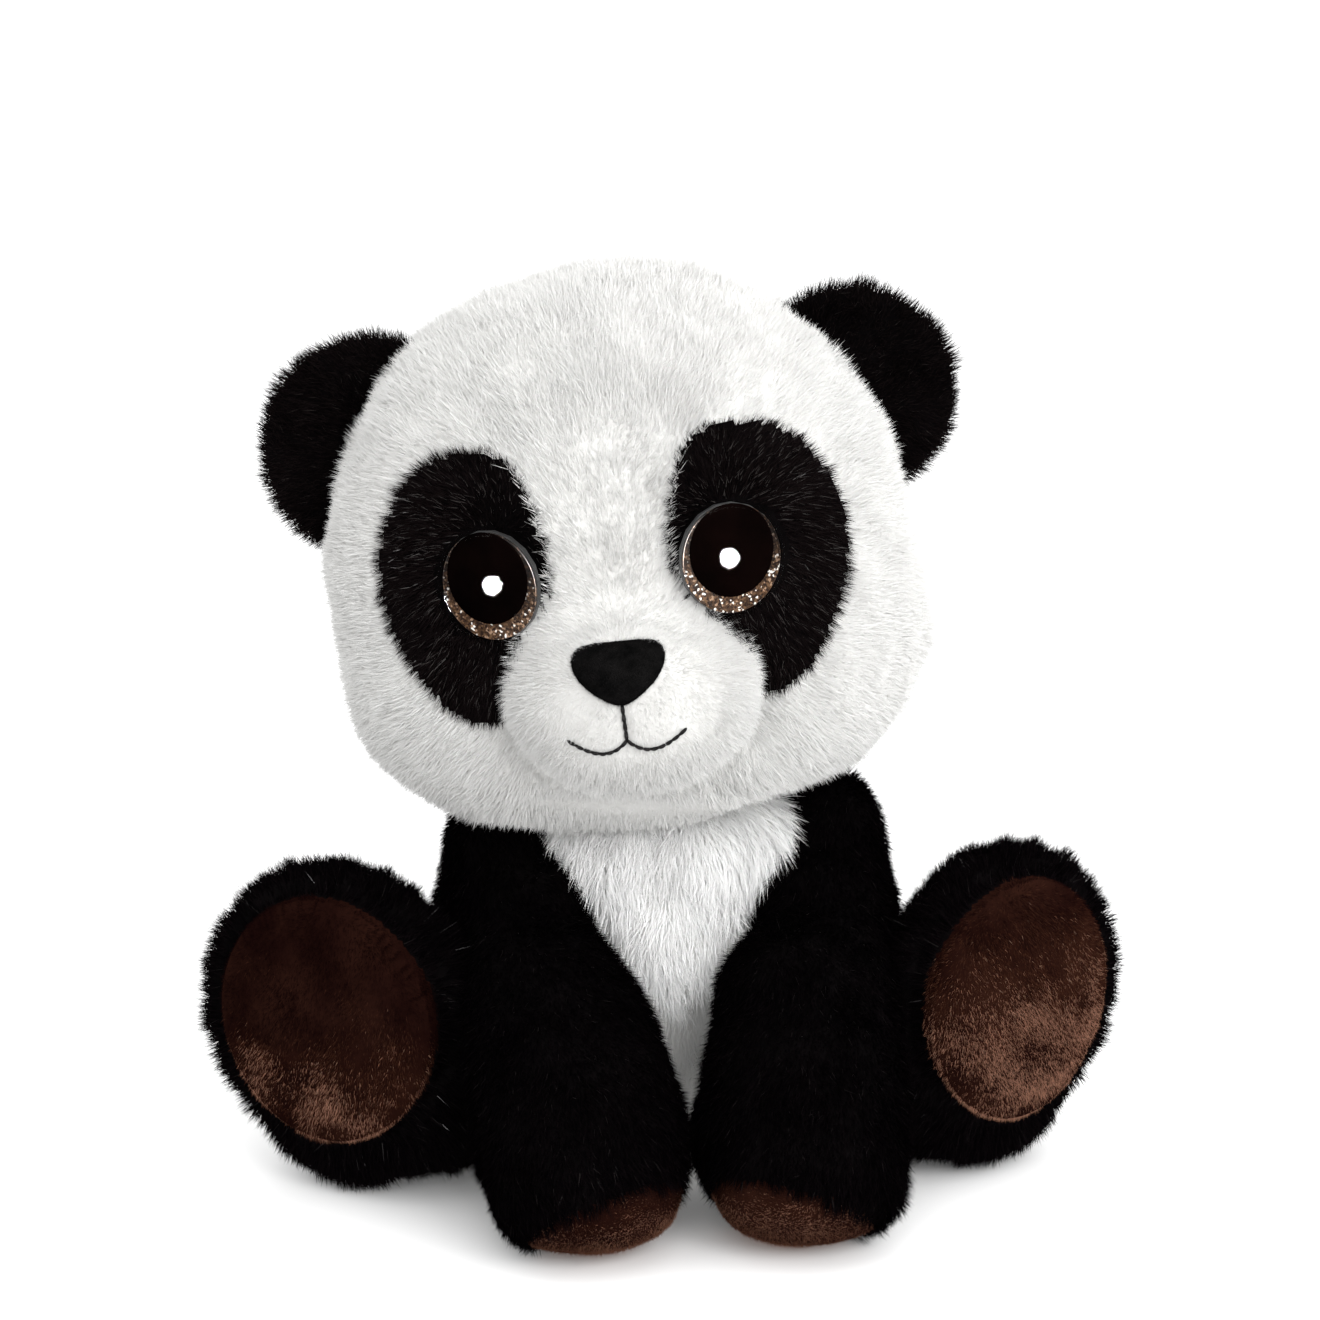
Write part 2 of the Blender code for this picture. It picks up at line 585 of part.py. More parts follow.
def build_torso():
    """Bib, belly and back panels over stuffing and a pellet bag, with seats for the limbs."""
    front = half_space_cutter("cut_belly_side", TORSO_SEAM_Y - GAP, True, torso_frame)
    back = half_space_cutter("cut_spine_side", TORSO_SEAM_Y, False, torso_frame)
    left_edge = [(x, z) for x, z in BIB_OUTLINE]
    right_edge = [(-x, z) for x, z in reversed(BIB_OUTLINE[:-1])]
    v_shape = left_edge + right_edge
    inside = [(x * BIB_SEAM_SHARE, z + GAP) for x, z in v_shape]
    bib_area = prism("cut_bib_area", inside, -CUT_REACH, BIB_CUT_DEPTH, torso_frame)
    bib_hole = prism("cut_bib_hole", v_shape, -CUT_REACH, BIB_CUT_DEPTH, torso_frame)

    belly = torso_shell("torso_belly_panel", "white_plush")
    carve(belly, front, "INTERSECT")
    carve(belly, bib_hole)
    bib = torso_shell("torso_bib_panel", "white_pile_bib")
    carve(bib, bib_area, "INTERSECT")
    spine = torso_shell("torso_back_panel", "white_plush")
    carve(spine, back, "INTERSECT")

    inset = TORSO_CLOTH + GAP
    top = TORSO_PROFILE[-1][0] - 1.0
    filling_rows = torso_profile_between(PELLET_TOP + GAP, top)
    filling = loft("torso_stuffing", [torso_ring(row, inset) for row in filling_rows], "polyester_stuffing",
                   torso_frame)
    bag_rows = torso_profile_between(inset, PELLET_TOP)
    bag = loft("pellet_bag", [torso_ring(row, inset) for row in bag_rows], "pellet_bag_cloth", torso_frame)

    pieces = (belly, bib, spine, filling, bag)
    for side, word in ((1, "left"), (-1, "right")):
        shoulder = (side * SHOULDER[0], SHOULDER[1], SHOULDER[2])
        hip = (side * HIP[0], HIP[1], HIP[2])
        shoulder_seat = sphere_cutter("cut_shoulder_seat_" + word, shoulder, SHOULDER_RADIUS + LIMB_CLEARANCE,
                                      torso_frame)
        hip_seat = sphere_cutter("cut_hip_seat_" + word, hip, HIP_RADIUS + LIMB_CLEARANCE, torso_frame)
        arm_beds = []
        for raised in ARM_BED_DEGREES:
            bed = loft(f"cut_arm_bed_{raised}_{word}", mirrored(raised_arm_outline(raised), side), None,
                       torso_frame, shoulder, cutter=True)
            arm_beds.append(bed)
        leg_bed = loft("cut_leg_bed_" + word, mirrored(leg_outline(-LIMB_CLEARANCE), side), None, torso_frame, hip,
                       cutter=True)
        for piece in pieces:
            for cutter in (shoulder_seat, *arm_beds, hip_seat, leg_bed):
                carve(piece, cutter)
    floor = NECK_STEM_BOTTOM - LIMB_CLEARANCE - NECK_PIVOT[2]
    width = NECK_STEM + LIMB_CLEARANCE
    stem_pocket = turned("cut_stem_pocket", [(0.0, 0.0), (0.0, width), (floor, width), (floor, 0.0)], None,
                         torso_frame, NECK_PIVOT, (0, 0, 1), cutter=True)
    carve(filling, stem_pocket)


def build_neck():
    """Stuffed neck plug and the gathering thread round it."""
    stem_low = NECK_STEM_BOTTOM - NECK_PIVOT[2]
    plug = [(NECK_BALL, 0.0)]
    for angle in range(75, -31, -15):
        tilt = math.radians(angle)
        plug.append((NECK_BALL * math.sin(tilt), NECK_BALL * math.cos(tilt)))
    plug += [(-11.0, NECK_STEM), (stem_low + 1.5, NECK_STEM), (stem_low, NECK_STEM - 3.0), (stem_low, 0.0)]
    turned("neck_plug", plug, "polyester_stuffing", neck_pivot, (0, 0, 0), (0, 0, 1))
    thread = []
    for step in range(THREAD_SIDES):
        angle = 2 * math.pi * step / THREAD_SIDES
        thread.append((-NECK_THREAD_RADIUS * math.sin(angle), NECK_THREAD_RING + NECK_THREAD_RADIUS * math.cos(angle)))
    turned("neck_thread", thread, "white_thread", neck_pivot, (0, 0, 0), (0, 0, 1), loop=True)


# ---- limbs -----------------------------------------------------------------------------------------

def arm_ring(section, inset=0.0, advance=0.0):
    """Ring of the arm in a plane square to its direction, measured from the shoulder."""
    x, y, z, half_width, half_thick, below = section
    slope = math.radians(below)
    direction = Vector((0, -math.cos(slope), -math.sin(slope)))
    up = Vector((0, -math.sin(slope), math.cos(slope)))
    centre = Vector((x, y, z)) - Vector(SHOULDER) + direction * advance
    return ellipse_ring(centre, (1, 0, 0), up, half_width - inset, half_thick - inset, 2.15)


def ball_rings(radius, direction, first_deg, last_deg, steps):
    """Rings of a ball about the origin, from one latitude to another along a direction."""
    direction = Vector(direction).normalized()
    across = Vector((0, 0, 1)).cross(direction).normalized()
    up = direction.cross(across)
    rings = []
    for step in range(steps):
        tilt = math.radians(first_deg + (last_deg - first_deg) * step / (steps - 1))
        rings.append(ellipse_ring(direction * radius * math.sin(tilt), across, up, radius * math.cos(tilt),
                                  radius * math.cos(tilt)))
    return rings


def line_up(rings):
    """Start every ring at the point nearest the start of the ring before it, all turning one way."""
    lined = [rings[0]]
    for ring in rings[1:]:
        last = lined[-1]
        count = len(ring)
        choices = []
        for candidate in (ring, ring[::-1]):
            for shift in range(count):
                gap = sum((candidate[(step * 5 + shift) % count] - last[(step * 5) % count]).length
                          for step in range(count // 5))
                choices.append((gap, shift, candidate is ring))
        _, shift, forward = min(choices)
        chosen = ring if forward else ring[::-1]
        lined.append([chosen[(step + shift) % count] for step in range(count)])
    return lined


def mirrored(rings, side):
    """Rings as they are, or mirrored to the panda's right side."""
    return [[Vector((side * point.x, point.y, point.z)) for point in ring] for ring in rings]


def dome_rings(last_ring_of, depth, steps, inset=0.0):
    """Rounded end beyond a section: rings that shrink while they advance."""
    rings = []
    for step in range(1, steps):
        angle = math.radians(84) * step / (steps - 1)
        rings.append(last_ring_of(math.cos(angle), depth * math.sin(angle), inset))
    return rings


def arm_outline(inset):
    """Arm from the ball at the shoulder to the rim of the paw."""
    ball = ball_rings(SHOULDER_RADIUS - inset, ARM_AXIS, -35, 5, 4)
    return line_up(ball + [arm_ring(section, inset) for section in ARM_SECTIONS])


def raised_arm_outline(raised):
    """Space the arm takes, with its clearance, when it is raised by some degrees."""
    lift = Matrix.Rotation(math.radians(-raised), 3, "X")
    return [[lift @ point for point in ring] for ring in arm_outline(-LIMB_CLEARANCE)]


def build_arm(side, word):
    """Black sleeve, brown paw pad and stuffing, about the shoulder."""
    pivot = pivot_empty("shoulder_pivot_" + word, (side * SHOULDER[0], SHOULDER[1], SHOULDER[2]))
    sleeve = line_up(arm_outline(0.0) + arm_outline(ARM_CLOTH)[::-1])
    loft("arm_sleeve_" + word, mirrored(sleeve, side), "black_plush", pivot, tube=True)

    def paw_ring(scale, advance, inset):
        x, y, z, half_width, half_thick, below = ARM_SECTIONS[-1]
        section = (x, y, z, (half_width - inset) * scale, (half_thick - inset) * scale, below)
        return arm_ring(section, 0.0, advance + GAP)

    pad_outer = [paw_ring(1.0, 0.0, 0.0)] + dome_rings(paw_ring, PAW_DOME, 8)
    pad_inner = [paw_ring(1.0, 0.0, ARM_CLOTH)] + dome_rings(paw_ring, PAW_DOME - ARM_CLOTH, 8, ARM_CLOTH)
    loft("arm_pad_" + word, mirrored(pad_outer[::-1] + pad_inner, side), "brown_satin_plush", pivot)

    inset = ARM_CLOTH + GAP
    core = ball_rings(SHOULDER_RADIUS - inset, ARM_AXIS, -80, 5, 8)
    core += [arm_ring(section, inset) for section in ARM_SECTIONS]
    core += dome_rings(paw_ring, PAW_DOME - inset - GAP, 8, inset)
    loft("arm_stuffing_" + word, mirrored(line_up(core), side), "polyester_stuffing", pivot)


def leg_axis():
    """Direction the panda's left leg points."""
    splay = math.radians(LEG_SPLAY_DEG)
    return Vector((math.sin(splay), -math.cos(splay), 0))


def leg_ring(section, inset=0.0, advance=0.0):
    """Upright ring of the leg, square to the direction it points, measured from the hip."""
    along, centre_z, half_width, half_height = section
    direction = leg_axis()
    across = Vector((0, 0, 1)).cross(direction)
    centre = direction * (along + advance) + Vector((0, 0, centre_z - HIP[2]))
    return ellipse_ring(centre, across, (0, 0, 1), half_width - inset, half_height - inset, 2.1)


def leg_outline(inset):
    """Leg from the ball at the hip to the rim of the sole."""
    ball = ball_rings(HIP_RADIUS - inset, leg_axis(), -35, 0, 4)
    return line_up(ball + [leg_ring(section, inset) for section in LEG_SECTIONS])


def build_leg(side, word):
    """Black leg, brown sole pad and stuffing, about the hip."""
    pivot = pivot_empty("hip_pivot_" + word, (side * HIP[0], HIP[1], HIP[2]))
    skin = line_up(leg_outline(0.0) + leg_outline(LEG_CLOTH)[::-1])
    loft("leg_skin_" + word, mirrored(skin, side), "black_plush", pivot, tube=True)

    def sole_ring(scale, advance, inset):
        along, centre_z, half_width, half_height = LEG_SECTIONS[-1]
        section = (along, centre_z, (half_width - inset) * scale, (half_height - inset) * scale)
        return leg_ring(section, 0.0, advance + GAP)

    pad_outer = [sole_ring(1.0, 0.0, 0.0)] + dome_rings(sole_ring, SOLE_DOME, 7)
    pad_inner = [sole_ring(1.0, 0.0, LEG_CLOTH)] + dome_rings(sole_ring, SOLE_DOME - LEG_CLOTH, 7, LEG_CLOTH)
    loft("leg_sole_" + word, mirrored(pad_outer[::-1] + pad_inner, side), "brown_satin_plush", pivot)

    inset = LEG_CLOTH + GAP
    core = ball_rings(HIP_RADIUS - inset, leg_axis(), -80, 0, 8)
    core += [leg_ring(section, inset) for section in LEG_SECTIONS]
    loft("leg_stuffing_" + word, mirrored(line_up(core), side), "polyester_stuffing", pivot)


clear_scene()
parts = new_collection("plush_panda")
cutters = new_collection("plush_panda_cutters")
torso_frame = pivot_empty("torso_frame", (0.0, 0.0, 0.0))
neck_pivot = pivot_empty("neck_pivot", NECK_PIVOT)
head_pivot = pivot_empty("head_pivot", NECK_PIVOT, (0.0, HEAD_TILT_DEG, HEAD_TURN_DEG))
build_head()
build_nose_and_mouth()
build_torso()
build_neck()
for own_side, own_word in ((1, "left"), (-1, "right")):
    build_ear(own_side, own_word)
    build_arm(own_side, own_word)
    build_leg(own_side, own_word)
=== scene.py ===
"""Looks of the seated plush panda: swollen skins, plush pile, safety eyes and stitches round the frame.

Lengths are millimetres unless a name says otherwise.  The panda faces -Y, and its own left side is +X.
"""
import json
import math
from collections import namedtuple

import bmesh
import bpy
import numpy as np
from mathutils import Euler, Matrix, Vector


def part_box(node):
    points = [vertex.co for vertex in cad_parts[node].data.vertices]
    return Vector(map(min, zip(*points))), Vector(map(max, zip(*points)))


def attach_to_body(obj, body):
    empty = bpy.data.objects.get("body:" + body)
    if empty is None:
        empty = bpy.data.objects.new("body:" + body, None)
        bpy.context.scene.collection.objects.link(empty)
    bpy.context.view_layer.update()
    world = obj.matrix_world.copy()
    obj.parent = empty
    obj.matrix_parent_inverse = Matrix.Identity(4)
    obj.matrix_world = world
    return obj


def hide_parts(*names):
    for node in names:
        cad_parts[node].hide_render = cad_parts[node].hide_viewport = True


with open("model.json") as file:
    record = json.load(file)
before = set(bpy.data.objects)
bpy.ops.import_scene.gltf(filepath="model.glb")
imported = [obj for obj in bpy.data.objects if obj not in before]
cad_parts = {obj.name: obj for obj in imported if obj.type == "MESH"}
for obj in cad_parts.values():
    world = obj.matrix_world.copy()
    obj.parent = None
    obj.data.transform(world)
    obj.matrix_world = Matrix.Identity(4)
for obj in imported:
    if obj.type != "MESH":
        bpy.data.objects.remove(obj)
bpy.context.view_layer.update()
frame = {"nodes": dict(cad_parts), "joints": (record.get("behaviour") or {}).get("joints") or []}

MM = 0.001
CIRCLE = 2 * math.pi
SIDES = ((1, "left"), (-1, "right"))
FLOOR_CLEARANCE = 0.15

# Camera
CAMERA_AIM = (0.0, 24.3, 120.0)
CAMERA_AZIMUTH_DEG = -6.0
CAMERA_ELEVATION_DEG = 12.0
CAMERA_DISTANCE = 950.0
CAMERA_VIEW_WIDTH = 316.8
FLOOR_HALF_SIDE = 12.0  # metres
FLOOR_COLOUR = (0.88, 0.88, 0.88)
SKY_LEVEL = 1.46
SKY_SLOPE = (0.38, 0.0, 0.20)  # the sky is brighter overhead and on the panda's left
LIGHTS = (  # name, place and side in metres, watts
    ("key", (0.42, -0.95, 0.62), 0.5, 6.0),
    ("top", (0.1, 0.25, 1.2), 0.8, 1.0),
)
EYE_LIGHT_DISTANCE = 0.72  # metres in front of the panda; only the eye domes show this light
EYE_LIGHT_WIDTH = 0.46
EYE_LIGHT_WATTS = 120.0

# Head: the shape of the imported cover, drawn in by the depth of the pile
HEAD_TURN_DEG = -7.5
HEAD_TILT_DEG = -7.0
HEAD_ABOVE_PIVOT = 59.0
HEAD_HALF_WIDTH = 71.5
HEAD_HALF_FRONT = 60.0
HEAD_HALF_BACK = 58.0
HEAD_WIDEST_Z = -14.0
HEAD_CROWN = 80.5
HEAD_CHIN = 54.0
CROWN_POWER = 2.2
CHIN_POWER = 2.6
HEAD_PLAN_POWER = 2.1
HEAD_SEAM_Y = 6.0
HEAD_PILE_DEPTH = 2.6
HEAD_ROWS = 170
HEAD_COLUMNS = 260

CHEEK_CENTRE = (46.0, -34.0)
CHEEK_REACH = 18.0
CHEEK_FULLNESS = 1.8
PATCH_OUTLINE = (  # (x, z) round the left eye patch
    (33, 30.5), (39, 29), (45.5, 24), (50, 17), (53, 8), (53.5, 0), (51.5, -9), (47.5, -17), (42, -25),
    (36, -29.5), (28, -30), (27, -22), (22.5, -11), (17, -4), (14, 1), (14, 10), (16, 20), (20, 28), (26, 31),
)
FACE_WHORL = (0.0, -58.0, -14.0)  # the pile of the head is combed away from here
EYE_CENTRE = (27.4, 2.3)
EYE_OUTWARD_DEG = 28.0
EYE_RADIUS = 12.75
EYE_SOCKET_REACH = 15.0
EYE_SOCKET_DEPTH = 1.6
DOME_RISE = 10.4
PUPIL_RADIUS = 10.5
PUPIL_RISE = 1.9
# Painted glints: the palest glitter tone, near white, stands for the sparkle of the flakes; the darker tones
# are the flakes' own bronze.
GLITTER_AND_GLINT_TONES = (  # place on the ramp and colour
    (0.0, (0.020, 0.008, 0.004)), (0.30, (0.060, 0.028, 0.012)), (0.62, (0.135, 0.070, 0.033)),
    (0.84, (0.36, 0.23, 0.15)), (0.93, (1.0, 0.97, 0.92)),
)

MUZZLE_CENTRE = (1.5, -51.0, -24.6)
MUZZLE_RADII = (28.0, 22.5, 23.5)
BRIDGE_BLEND = 3.2  # roundness of the hollow where the muzzle meets the face above it
BRIDGE_FALL = 30.0  # how fast that meeting falls back outside the muzzle's outline
MUZZLE_HOLLOW = 1.0
NOSE_CENTRE_Z = -17.6
NOSE_HALF_WIDTH = 10.6
NOSE_HALF_HEIGHT = 6.6
NOSE_THICKNESS = 3.0
NOSE_OUTLINE = (  # one half, as shares of the nose's half width and half height
    (0.0, 1.0), (0.45, 0.99), (0.80, 0.90), (0.96, 0.70), (1.0, 0.46), (0.96, 0.18), (0.86, -0.10),
    (0.71, -0.36), (0.52, -0.60), (0.31, -0.82), (0.13, -0.96), (0.0, -1.0),
)
LIP_TOP_Z = -24.2
LIP_END_Z = -32.4
SMILE_HALF_WIDTH = 13.2
SMILE_DROP = 2.9
SMILE_END_RISE = 0.8
CHIN_TUCK_Z = -54.0
CHIN_TUCK_SLOPE = -0.17
PLEATS = ((12.5, 0.25), (18.5, 0.5), (24.5, 0.75))  # place beside the muzzle's middle, and slope
SEAM_PARTING = ((46.0, 40.0), (26.0, 31.0))

EAR_SEAM_CENTRE = (58.0, 3.0, 29.0)
EAR_SLANT_DEG = 30.4
EAR_RADIUS = {"left": 23.0, "right": 24.6}
EAR_PROUD = {"left": 0.5, "right": -2.0}
EAR_UP = {"left": 0.0, "right": 1.6}
EAR_CUP = 5.5
EAR_THICKNESS = 3.4
EAR_CREASE = 1.6

# Body
BIB_OUTLINE = ((33, 100), (31, 88), (26, 73), (20, 65), (13, 58), (5, 49), (0, 44.5))
CHEST_BALL = ((0.0, 15.0, 78.0), (38.0, 30.0, 20.0), 0.0)  # middle, radii and turn about the upright
SHOULDER_BALL = ((39.0, 13.0, 76.0), (13.0, 17.0, 19.0))
UPPER_ARM_BALL = ((35.0, 1.0, 64.0), (16.5, 18.0, 17.0))
WRIST_BALL = ((24.6, -42.0, 22.0), (24.0, 20.0, 21.0))
LEFT_FOREARM_BALL = ((24.0, -28.0, 48.0), (16.0, 17.0, 18.0))
FORM_VOXEL = 3.2
FORM_LOWEST = 0.4
SNAP_SHARE = 0.12
PAW_SLOPE_DEG = 60.0
SOLE_FACING_DEG = 29.0
SOLE_RADII = (29.0, 29.1)
SOLE_BULGE = 2.2
SOLE_RISE = 1.7
# Painted light: each sole's pile tones are lifted or lowered by how the light falls on that side, lighter on
# the left sole and darker on the right.
SOLE_PAINTED_LIGHT = {"left": 0.34, "right": -0.15}
FOOT_RADII = (36.5, 10.0, 36.5)
FOOT_BEHIND_SOLE = 8.5
FOOT_OUTWARD = -0.8
HEEL_RADII = (27.0, 17.0, 19.0)
HEEL_BEHIND_SOLE = 17.0
HEEL_INWARD = 12.0
HEEL_BELOW_SOLE = 21.0
PAW_TURN_IN = 0.35
PAD_EDGE_DROP = 1.5
# How far the paw pads' pile is lifted towards its lighter tones.
PAW_TONE_LIFT = 0.38
PAW_LIGHT_Z = (2.0, 22.0)
CLOTH_PRESSURE = 4.0
CLOTH_STIFFNESS = 12.0
CLOTH_FRAMES = 20
TORSO_SWELL = 4.0  # how far a form's cloth may swell
ARM_SWELL = 2.5
LEG_SWELL = 2.0

RIPPLE_WAVES = 10
TUFT_KEYS = 4093


# ---- shapes ----

def joint_place(name):
    """Place of a joint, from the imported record."""
    return np.array(next(joint["pos_m"] for joint in frame["joints"] if joint["name"] == name)) / MM


def unit(vectors):
    """Rows scaled to length one."""
    return vectors / np.maximum(np.linalg.norm(vectors, axis=1, keepdims=True), 1e-9)


def ripple(points, wavelength, seed):
    """Smooth random vectors, about one unit in size, that change over the wavelength."""
    rng = np.random.default_rng(seed)
    waves = rng.normal(size=(RIPPLE_WAVES, 3))
    waves *= CIRCLE / wavelength / np.linalg.norm(waves, axis=1, keepdims=True)
    phases = rng.uniform(0, CIRCLE, (3, RIPPLE_WAVES))
    turns = points @ waves.T
    return np.stack([np.sin(turns + phase).sum(1) for phase in phases], 1) * math.sqrt(2 / RIPPLE_WAVES)


def in_scene(name, data):
    """Object of the scene that shows some data."""
    made = bpy.data.objects.new(name, data)
    bpy.context.scene.collection.objects.link(made)
    return made


def new_piece(name, points, faces, material=None):
    """Smooth mesh piece from points in millimetres and a list of faces."""
    mesh = bpy.data.meshes.new(name)
    mesh.from_pydata([tuple(point) for point in np.asarray(points) * MM], [], faces)
    mesh.update()
    for face in mesh.polygons:
        face.use_smooth = True
    if material:
        mesh.materials.append(material)
    return in_scene(name, mesh)


def closed_piece(name, points, faces, material):
    """Mesh piece whose faces are turned to look outward."""
    piece = new_piece(name, points, faces, material)
    shape = bmesh.new()
    shape.from_mesh(piece.data)
    bmesh.ops.recalc_face_normals(shape, faces=shape.faces)
    shape.to_mesh(piece.data)
    shape.free()
    return piece


def grid_faces(rows, columns):
    """Quads over rows of points that close round in the column direction."""
    faces = []
    for row in range(rows - 1):
        for column in range(columns):
            after = (column + 1) % columns
            faces.append((row * columns + column, row * columns + after,
                          (row + 1) * columns + after, (row + 1) * columns + column))
    return faces


def capped_faces(rows, columns):
    """Quads over rows of points that close round, with a cap at each end."""
    ends = [tuple(range(columns)), tuple(range((rows - 1) * columns, rows * columns))]
    return grid_faces(rows, columns) + ends


def read_rows(items, key):
    """Three numbers for each item of a mesh."""
    flat = np.empty(len(items) * 3)
    items.foreach_get(key, flat)
    return flat.reshape(-1, 3)


def mesh_points(piece):
    """Points of a mesh piece, in millimetres."""
    return read_rows(piece.data.vertices, "co") / MM


def face_centres(piece):
    """Middle of each face, in millimetres."""
    return read_rows(piece.data.polygons, "center") / MM


def move_points(piece, points):
    """Put the points of a mesh piece in new places, in millimetres."""
    piece.data.vertices.foreach_set("co", (points * MM).ravel())
    piece.data.update()


def part_of(piece, name, kept, material):
    """New piece from some of a piece's faces."""
    points = mesh_points(piece)
    faces = [tuple(face.vertices) for face, keep in zip(piece.data.polygons, kept) if keep]
    used = np.unique(np.concatenate([np.array(face) for face in faces]))
    place = np.full(len(points), -1)
    place[used] = np.arange(len(used))
    return new_piece(name, points[used], [tuple(int(place[i]) for i in face) for face in faces], material)


def cut(form, name, kept, material, body, nodes):
    """Cloth made from some of a form's faces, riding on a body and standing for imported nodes."""
    skin = part_of(form, name, kept, material)
    attach(skin, body, nodes)
    return skin


def remove(piece):
    """Delete a helper object."""
    bpy.data.objects.remove(piece, do_unlink=True)


def apply_modifiers(piece):
    """Bake a piece's modifiers into its mesh."""
    depsgraph = bpy.context.evaluated_depsgraph_get()
    mesh = bpy.data.meshes.new_from_object(piece.evaluated_get(depsgraph))
    piece.modifiers.clear()
    piece.data = mesh


def inside_outline(points_x, points_z, outline):
    """True where (x, z) lies inside a closed outline."""
    inside = np.zeros(len(points_x), bool)
    count = len(outline)
    for index in range(count):
        x0, z0 = outline[index]
        x1, z1 = outline[(index + 1) % count]
        crosses = (z0 > points_z) != (z1 > points_z)
        with np.errstate(divide="ignore", invalid="ignore"):
            edge_x = (x1 - x0) * (points_z - z0) / (z1 - z0) + x0
        inside ^= crosses & (points_x < edge_x)
    return inside


# ---- materials ----

def principled(name, colour, roughness, specular=0.0):
    """Material with one Principled shader."""
    material = bpy.data.materials.new(name)
    material.use_nodes = True
    shader = material.node_tree.nodes["Principled BSDF"]
    shader.inputs["Base Color"].default_value = (*colour, 1.0)
    shader.inputs["Roughness"].default_value = roughness
    shader.inputs["Specular IOR Level"].default_value = specular
    return material, material.node_tree, shader


def add_node(tree, kind, **values):
    """New shader node with some of its inputs set."""
    node = tree.nodes.new(kind)
    for socket, value in values.items():
        node.inputs[socket.replace("_", " ")].default_value = value
    return node


def colour_ramp(tree, stops, interpolation="LINEAR"):
    """Colour ramp from a list of (place, colour)."""
    node = tree.nodes.new("ShaderNodeValToRGB")
    ramp = node.color_ramp
    ramp.interpolation = interpolation
    while len(ramp.elements) < len(stops):
        ramp.elements.new(0.5)
    for element, (place, colour) in zip(ramp.elements, stops):
        element.position = place
        element.color = (*colour, 1.0)
    return node


def join(tree, *wires):
    """Wire nodes together; each wire is (node, output, node, input)."""
    for source, output, target, socket in wires:
        tree.links.new(source.outputs[output], target.inputs[socket])


def mottled(name, dark, light, roughness, scale, bump=0.4, grain=900.0, specular=0.0):
    """Cloth ground: two tones in soft patches, with a fine knitted grain as bump."""
    material, tree, shader = principled(name, dark, roughness, specular)
    place = tree.nodes.new("ShaderNodeTexCoord")
    patches = add_node(tree, "ShaderNodeTexNoise", Scale=scale, Detail=6.0, Roughness=0.6)
    tones = colour_ramp(tree, ((0.36, dark), (0.66, light)))
    fine = add_node(tree, "ShaderNodeTexVoronoi", Scale=grain)
    relief = add_node(tree, "ShaderNodeBump", Strength=bump, Distance=0.0004)
    join(tree, (place, "Object", patches, "Vector"), (place, "Object", fine, "Vector"),
         (patches, "Fac", tones, "Fac"), (tones, "Color", shader, "Base Color"),
         (fine, "Distance", relief, "Height"), (relief, "Normal", shader, "Normal"))
    return material


def fibres(name, tones, roughness, specular=0.0):
    """Pile fibres: one plain material for each tone."""
    return [principled(f"{name}_{index}", tone, roughness, specular)[0]
            for index, tone in enumerate(tones, 1)]


WHITE_GROUND = mottled("white_plush_ground", (0.60, 0.595, 0.58), (0.68, 0.675, 0.66), 0.9, 60.0)
MUZZLE_GROUND = mottled("white_velour_ground", (0.55, 0.545, 0.53), (0.62, 0.615, 0.60), 0.9, 140.0)
BLACK_GROUND = mottled("black_plush_ground", (0.0014, 0.0012, 0.0013), (0.0034, 0.0028, 0.0030), 0.9, 80.0)
BROWN_GROUND = mottled("brown_satin_ground", (0.007, 0.0022, 0.0018), (0.019, 0.0068, 0.0044), 0.6, 45.0)
VELOUR_BLACK = mottled("black_velour_ground", (0.0025, 0.0025, 0.0025), (0.007, 0.0065, 0.0065), 0.85, 300.0,
                       0.8, 2500.0)
FILLING = mottled("polyester_filling", (0.75, 0.75, 0.74), (0.92, 0.92, 0.91), 0.95, 120.0, specular=0.5)
THREAD = mottled("black_embroidery_thread", (0.004, 0.004, 0.004), (0.012, 0.010, 0.010), 0.55, 900.0,
                 0.6, 3000.0, 0.02)
WHITE_FIBRES = fibres("white_pile", ((0.70, 0.697, 0.688), (0.66, 0.656, 0.644), (0.76, 0.76, 0.75)), 0.8)
# Painted light: the bib's pile is a lighter copy of the white pile, brightened to make up for the shade that
# the head and arms cast on it.
BIB_FIBRES_PAINTED_LIGHT = fibres("white_bib_pile_painted_light", ((0.96, 0.96, 0.955), (0.91, 0.905, 0.90), (0.99, 0.99, 0.99)), 0.8)
SNOUT_FIBRES = fibres("white_velour_pile", ((0.66, 0.657, 0.648), (0.62, 0.616, 0.606)), 0.8)
BLACK_PLAIN = fibres("black_pile", ((0.0038, 0.0027, 0.0029), (0.0085, 0.0062, 0.0062)), 0.6)
BLACK_FIBRES = BLACK_PLAIN + fibres("black_pile_glint", ((0.024, 0.020, 0.019),), 0.3, 0.02)
PATCH_FIBRES = BLACK_PLAIN + fibres("black_patch_glint", ((0.055, 0.048, 0.046),), 0.3, 0.02)
LIMB_FIBRES = fibres("black_limb_pile", ((0.0012, 0.0008, 0.0011), (0.0034, 0.0024, 0.0028)), 0.6)
LIMB_FIBRES += fibres("black_limb_glint", ((0.013, 0.011, 0.011),), 0.3, 0.02)
# The dark and light brown tones are shaded and lit copies of the pad pile: brown_tones uses them for painted
# shade at the top of a pad and painted sheen lower down.
BROWN_FIBRES = fibres("brown_pile", ((0.0060, 0.0018, 0.0017), (0.045, 0.017, 0.010), (0.22, 0.108, 0.070)),
                      0.5)
BROWN_FIBRES += fibres("brown_pile_glint", ((0.27, 0.155, 0.105),), 0.35, 0.01)
NOSE_FIBRES = fibres("nose_pile", ((0.0025, 0.0023, 0.0025), (0.010, 0.0095, 0.0098)), 0.8)


# ---- pile ----

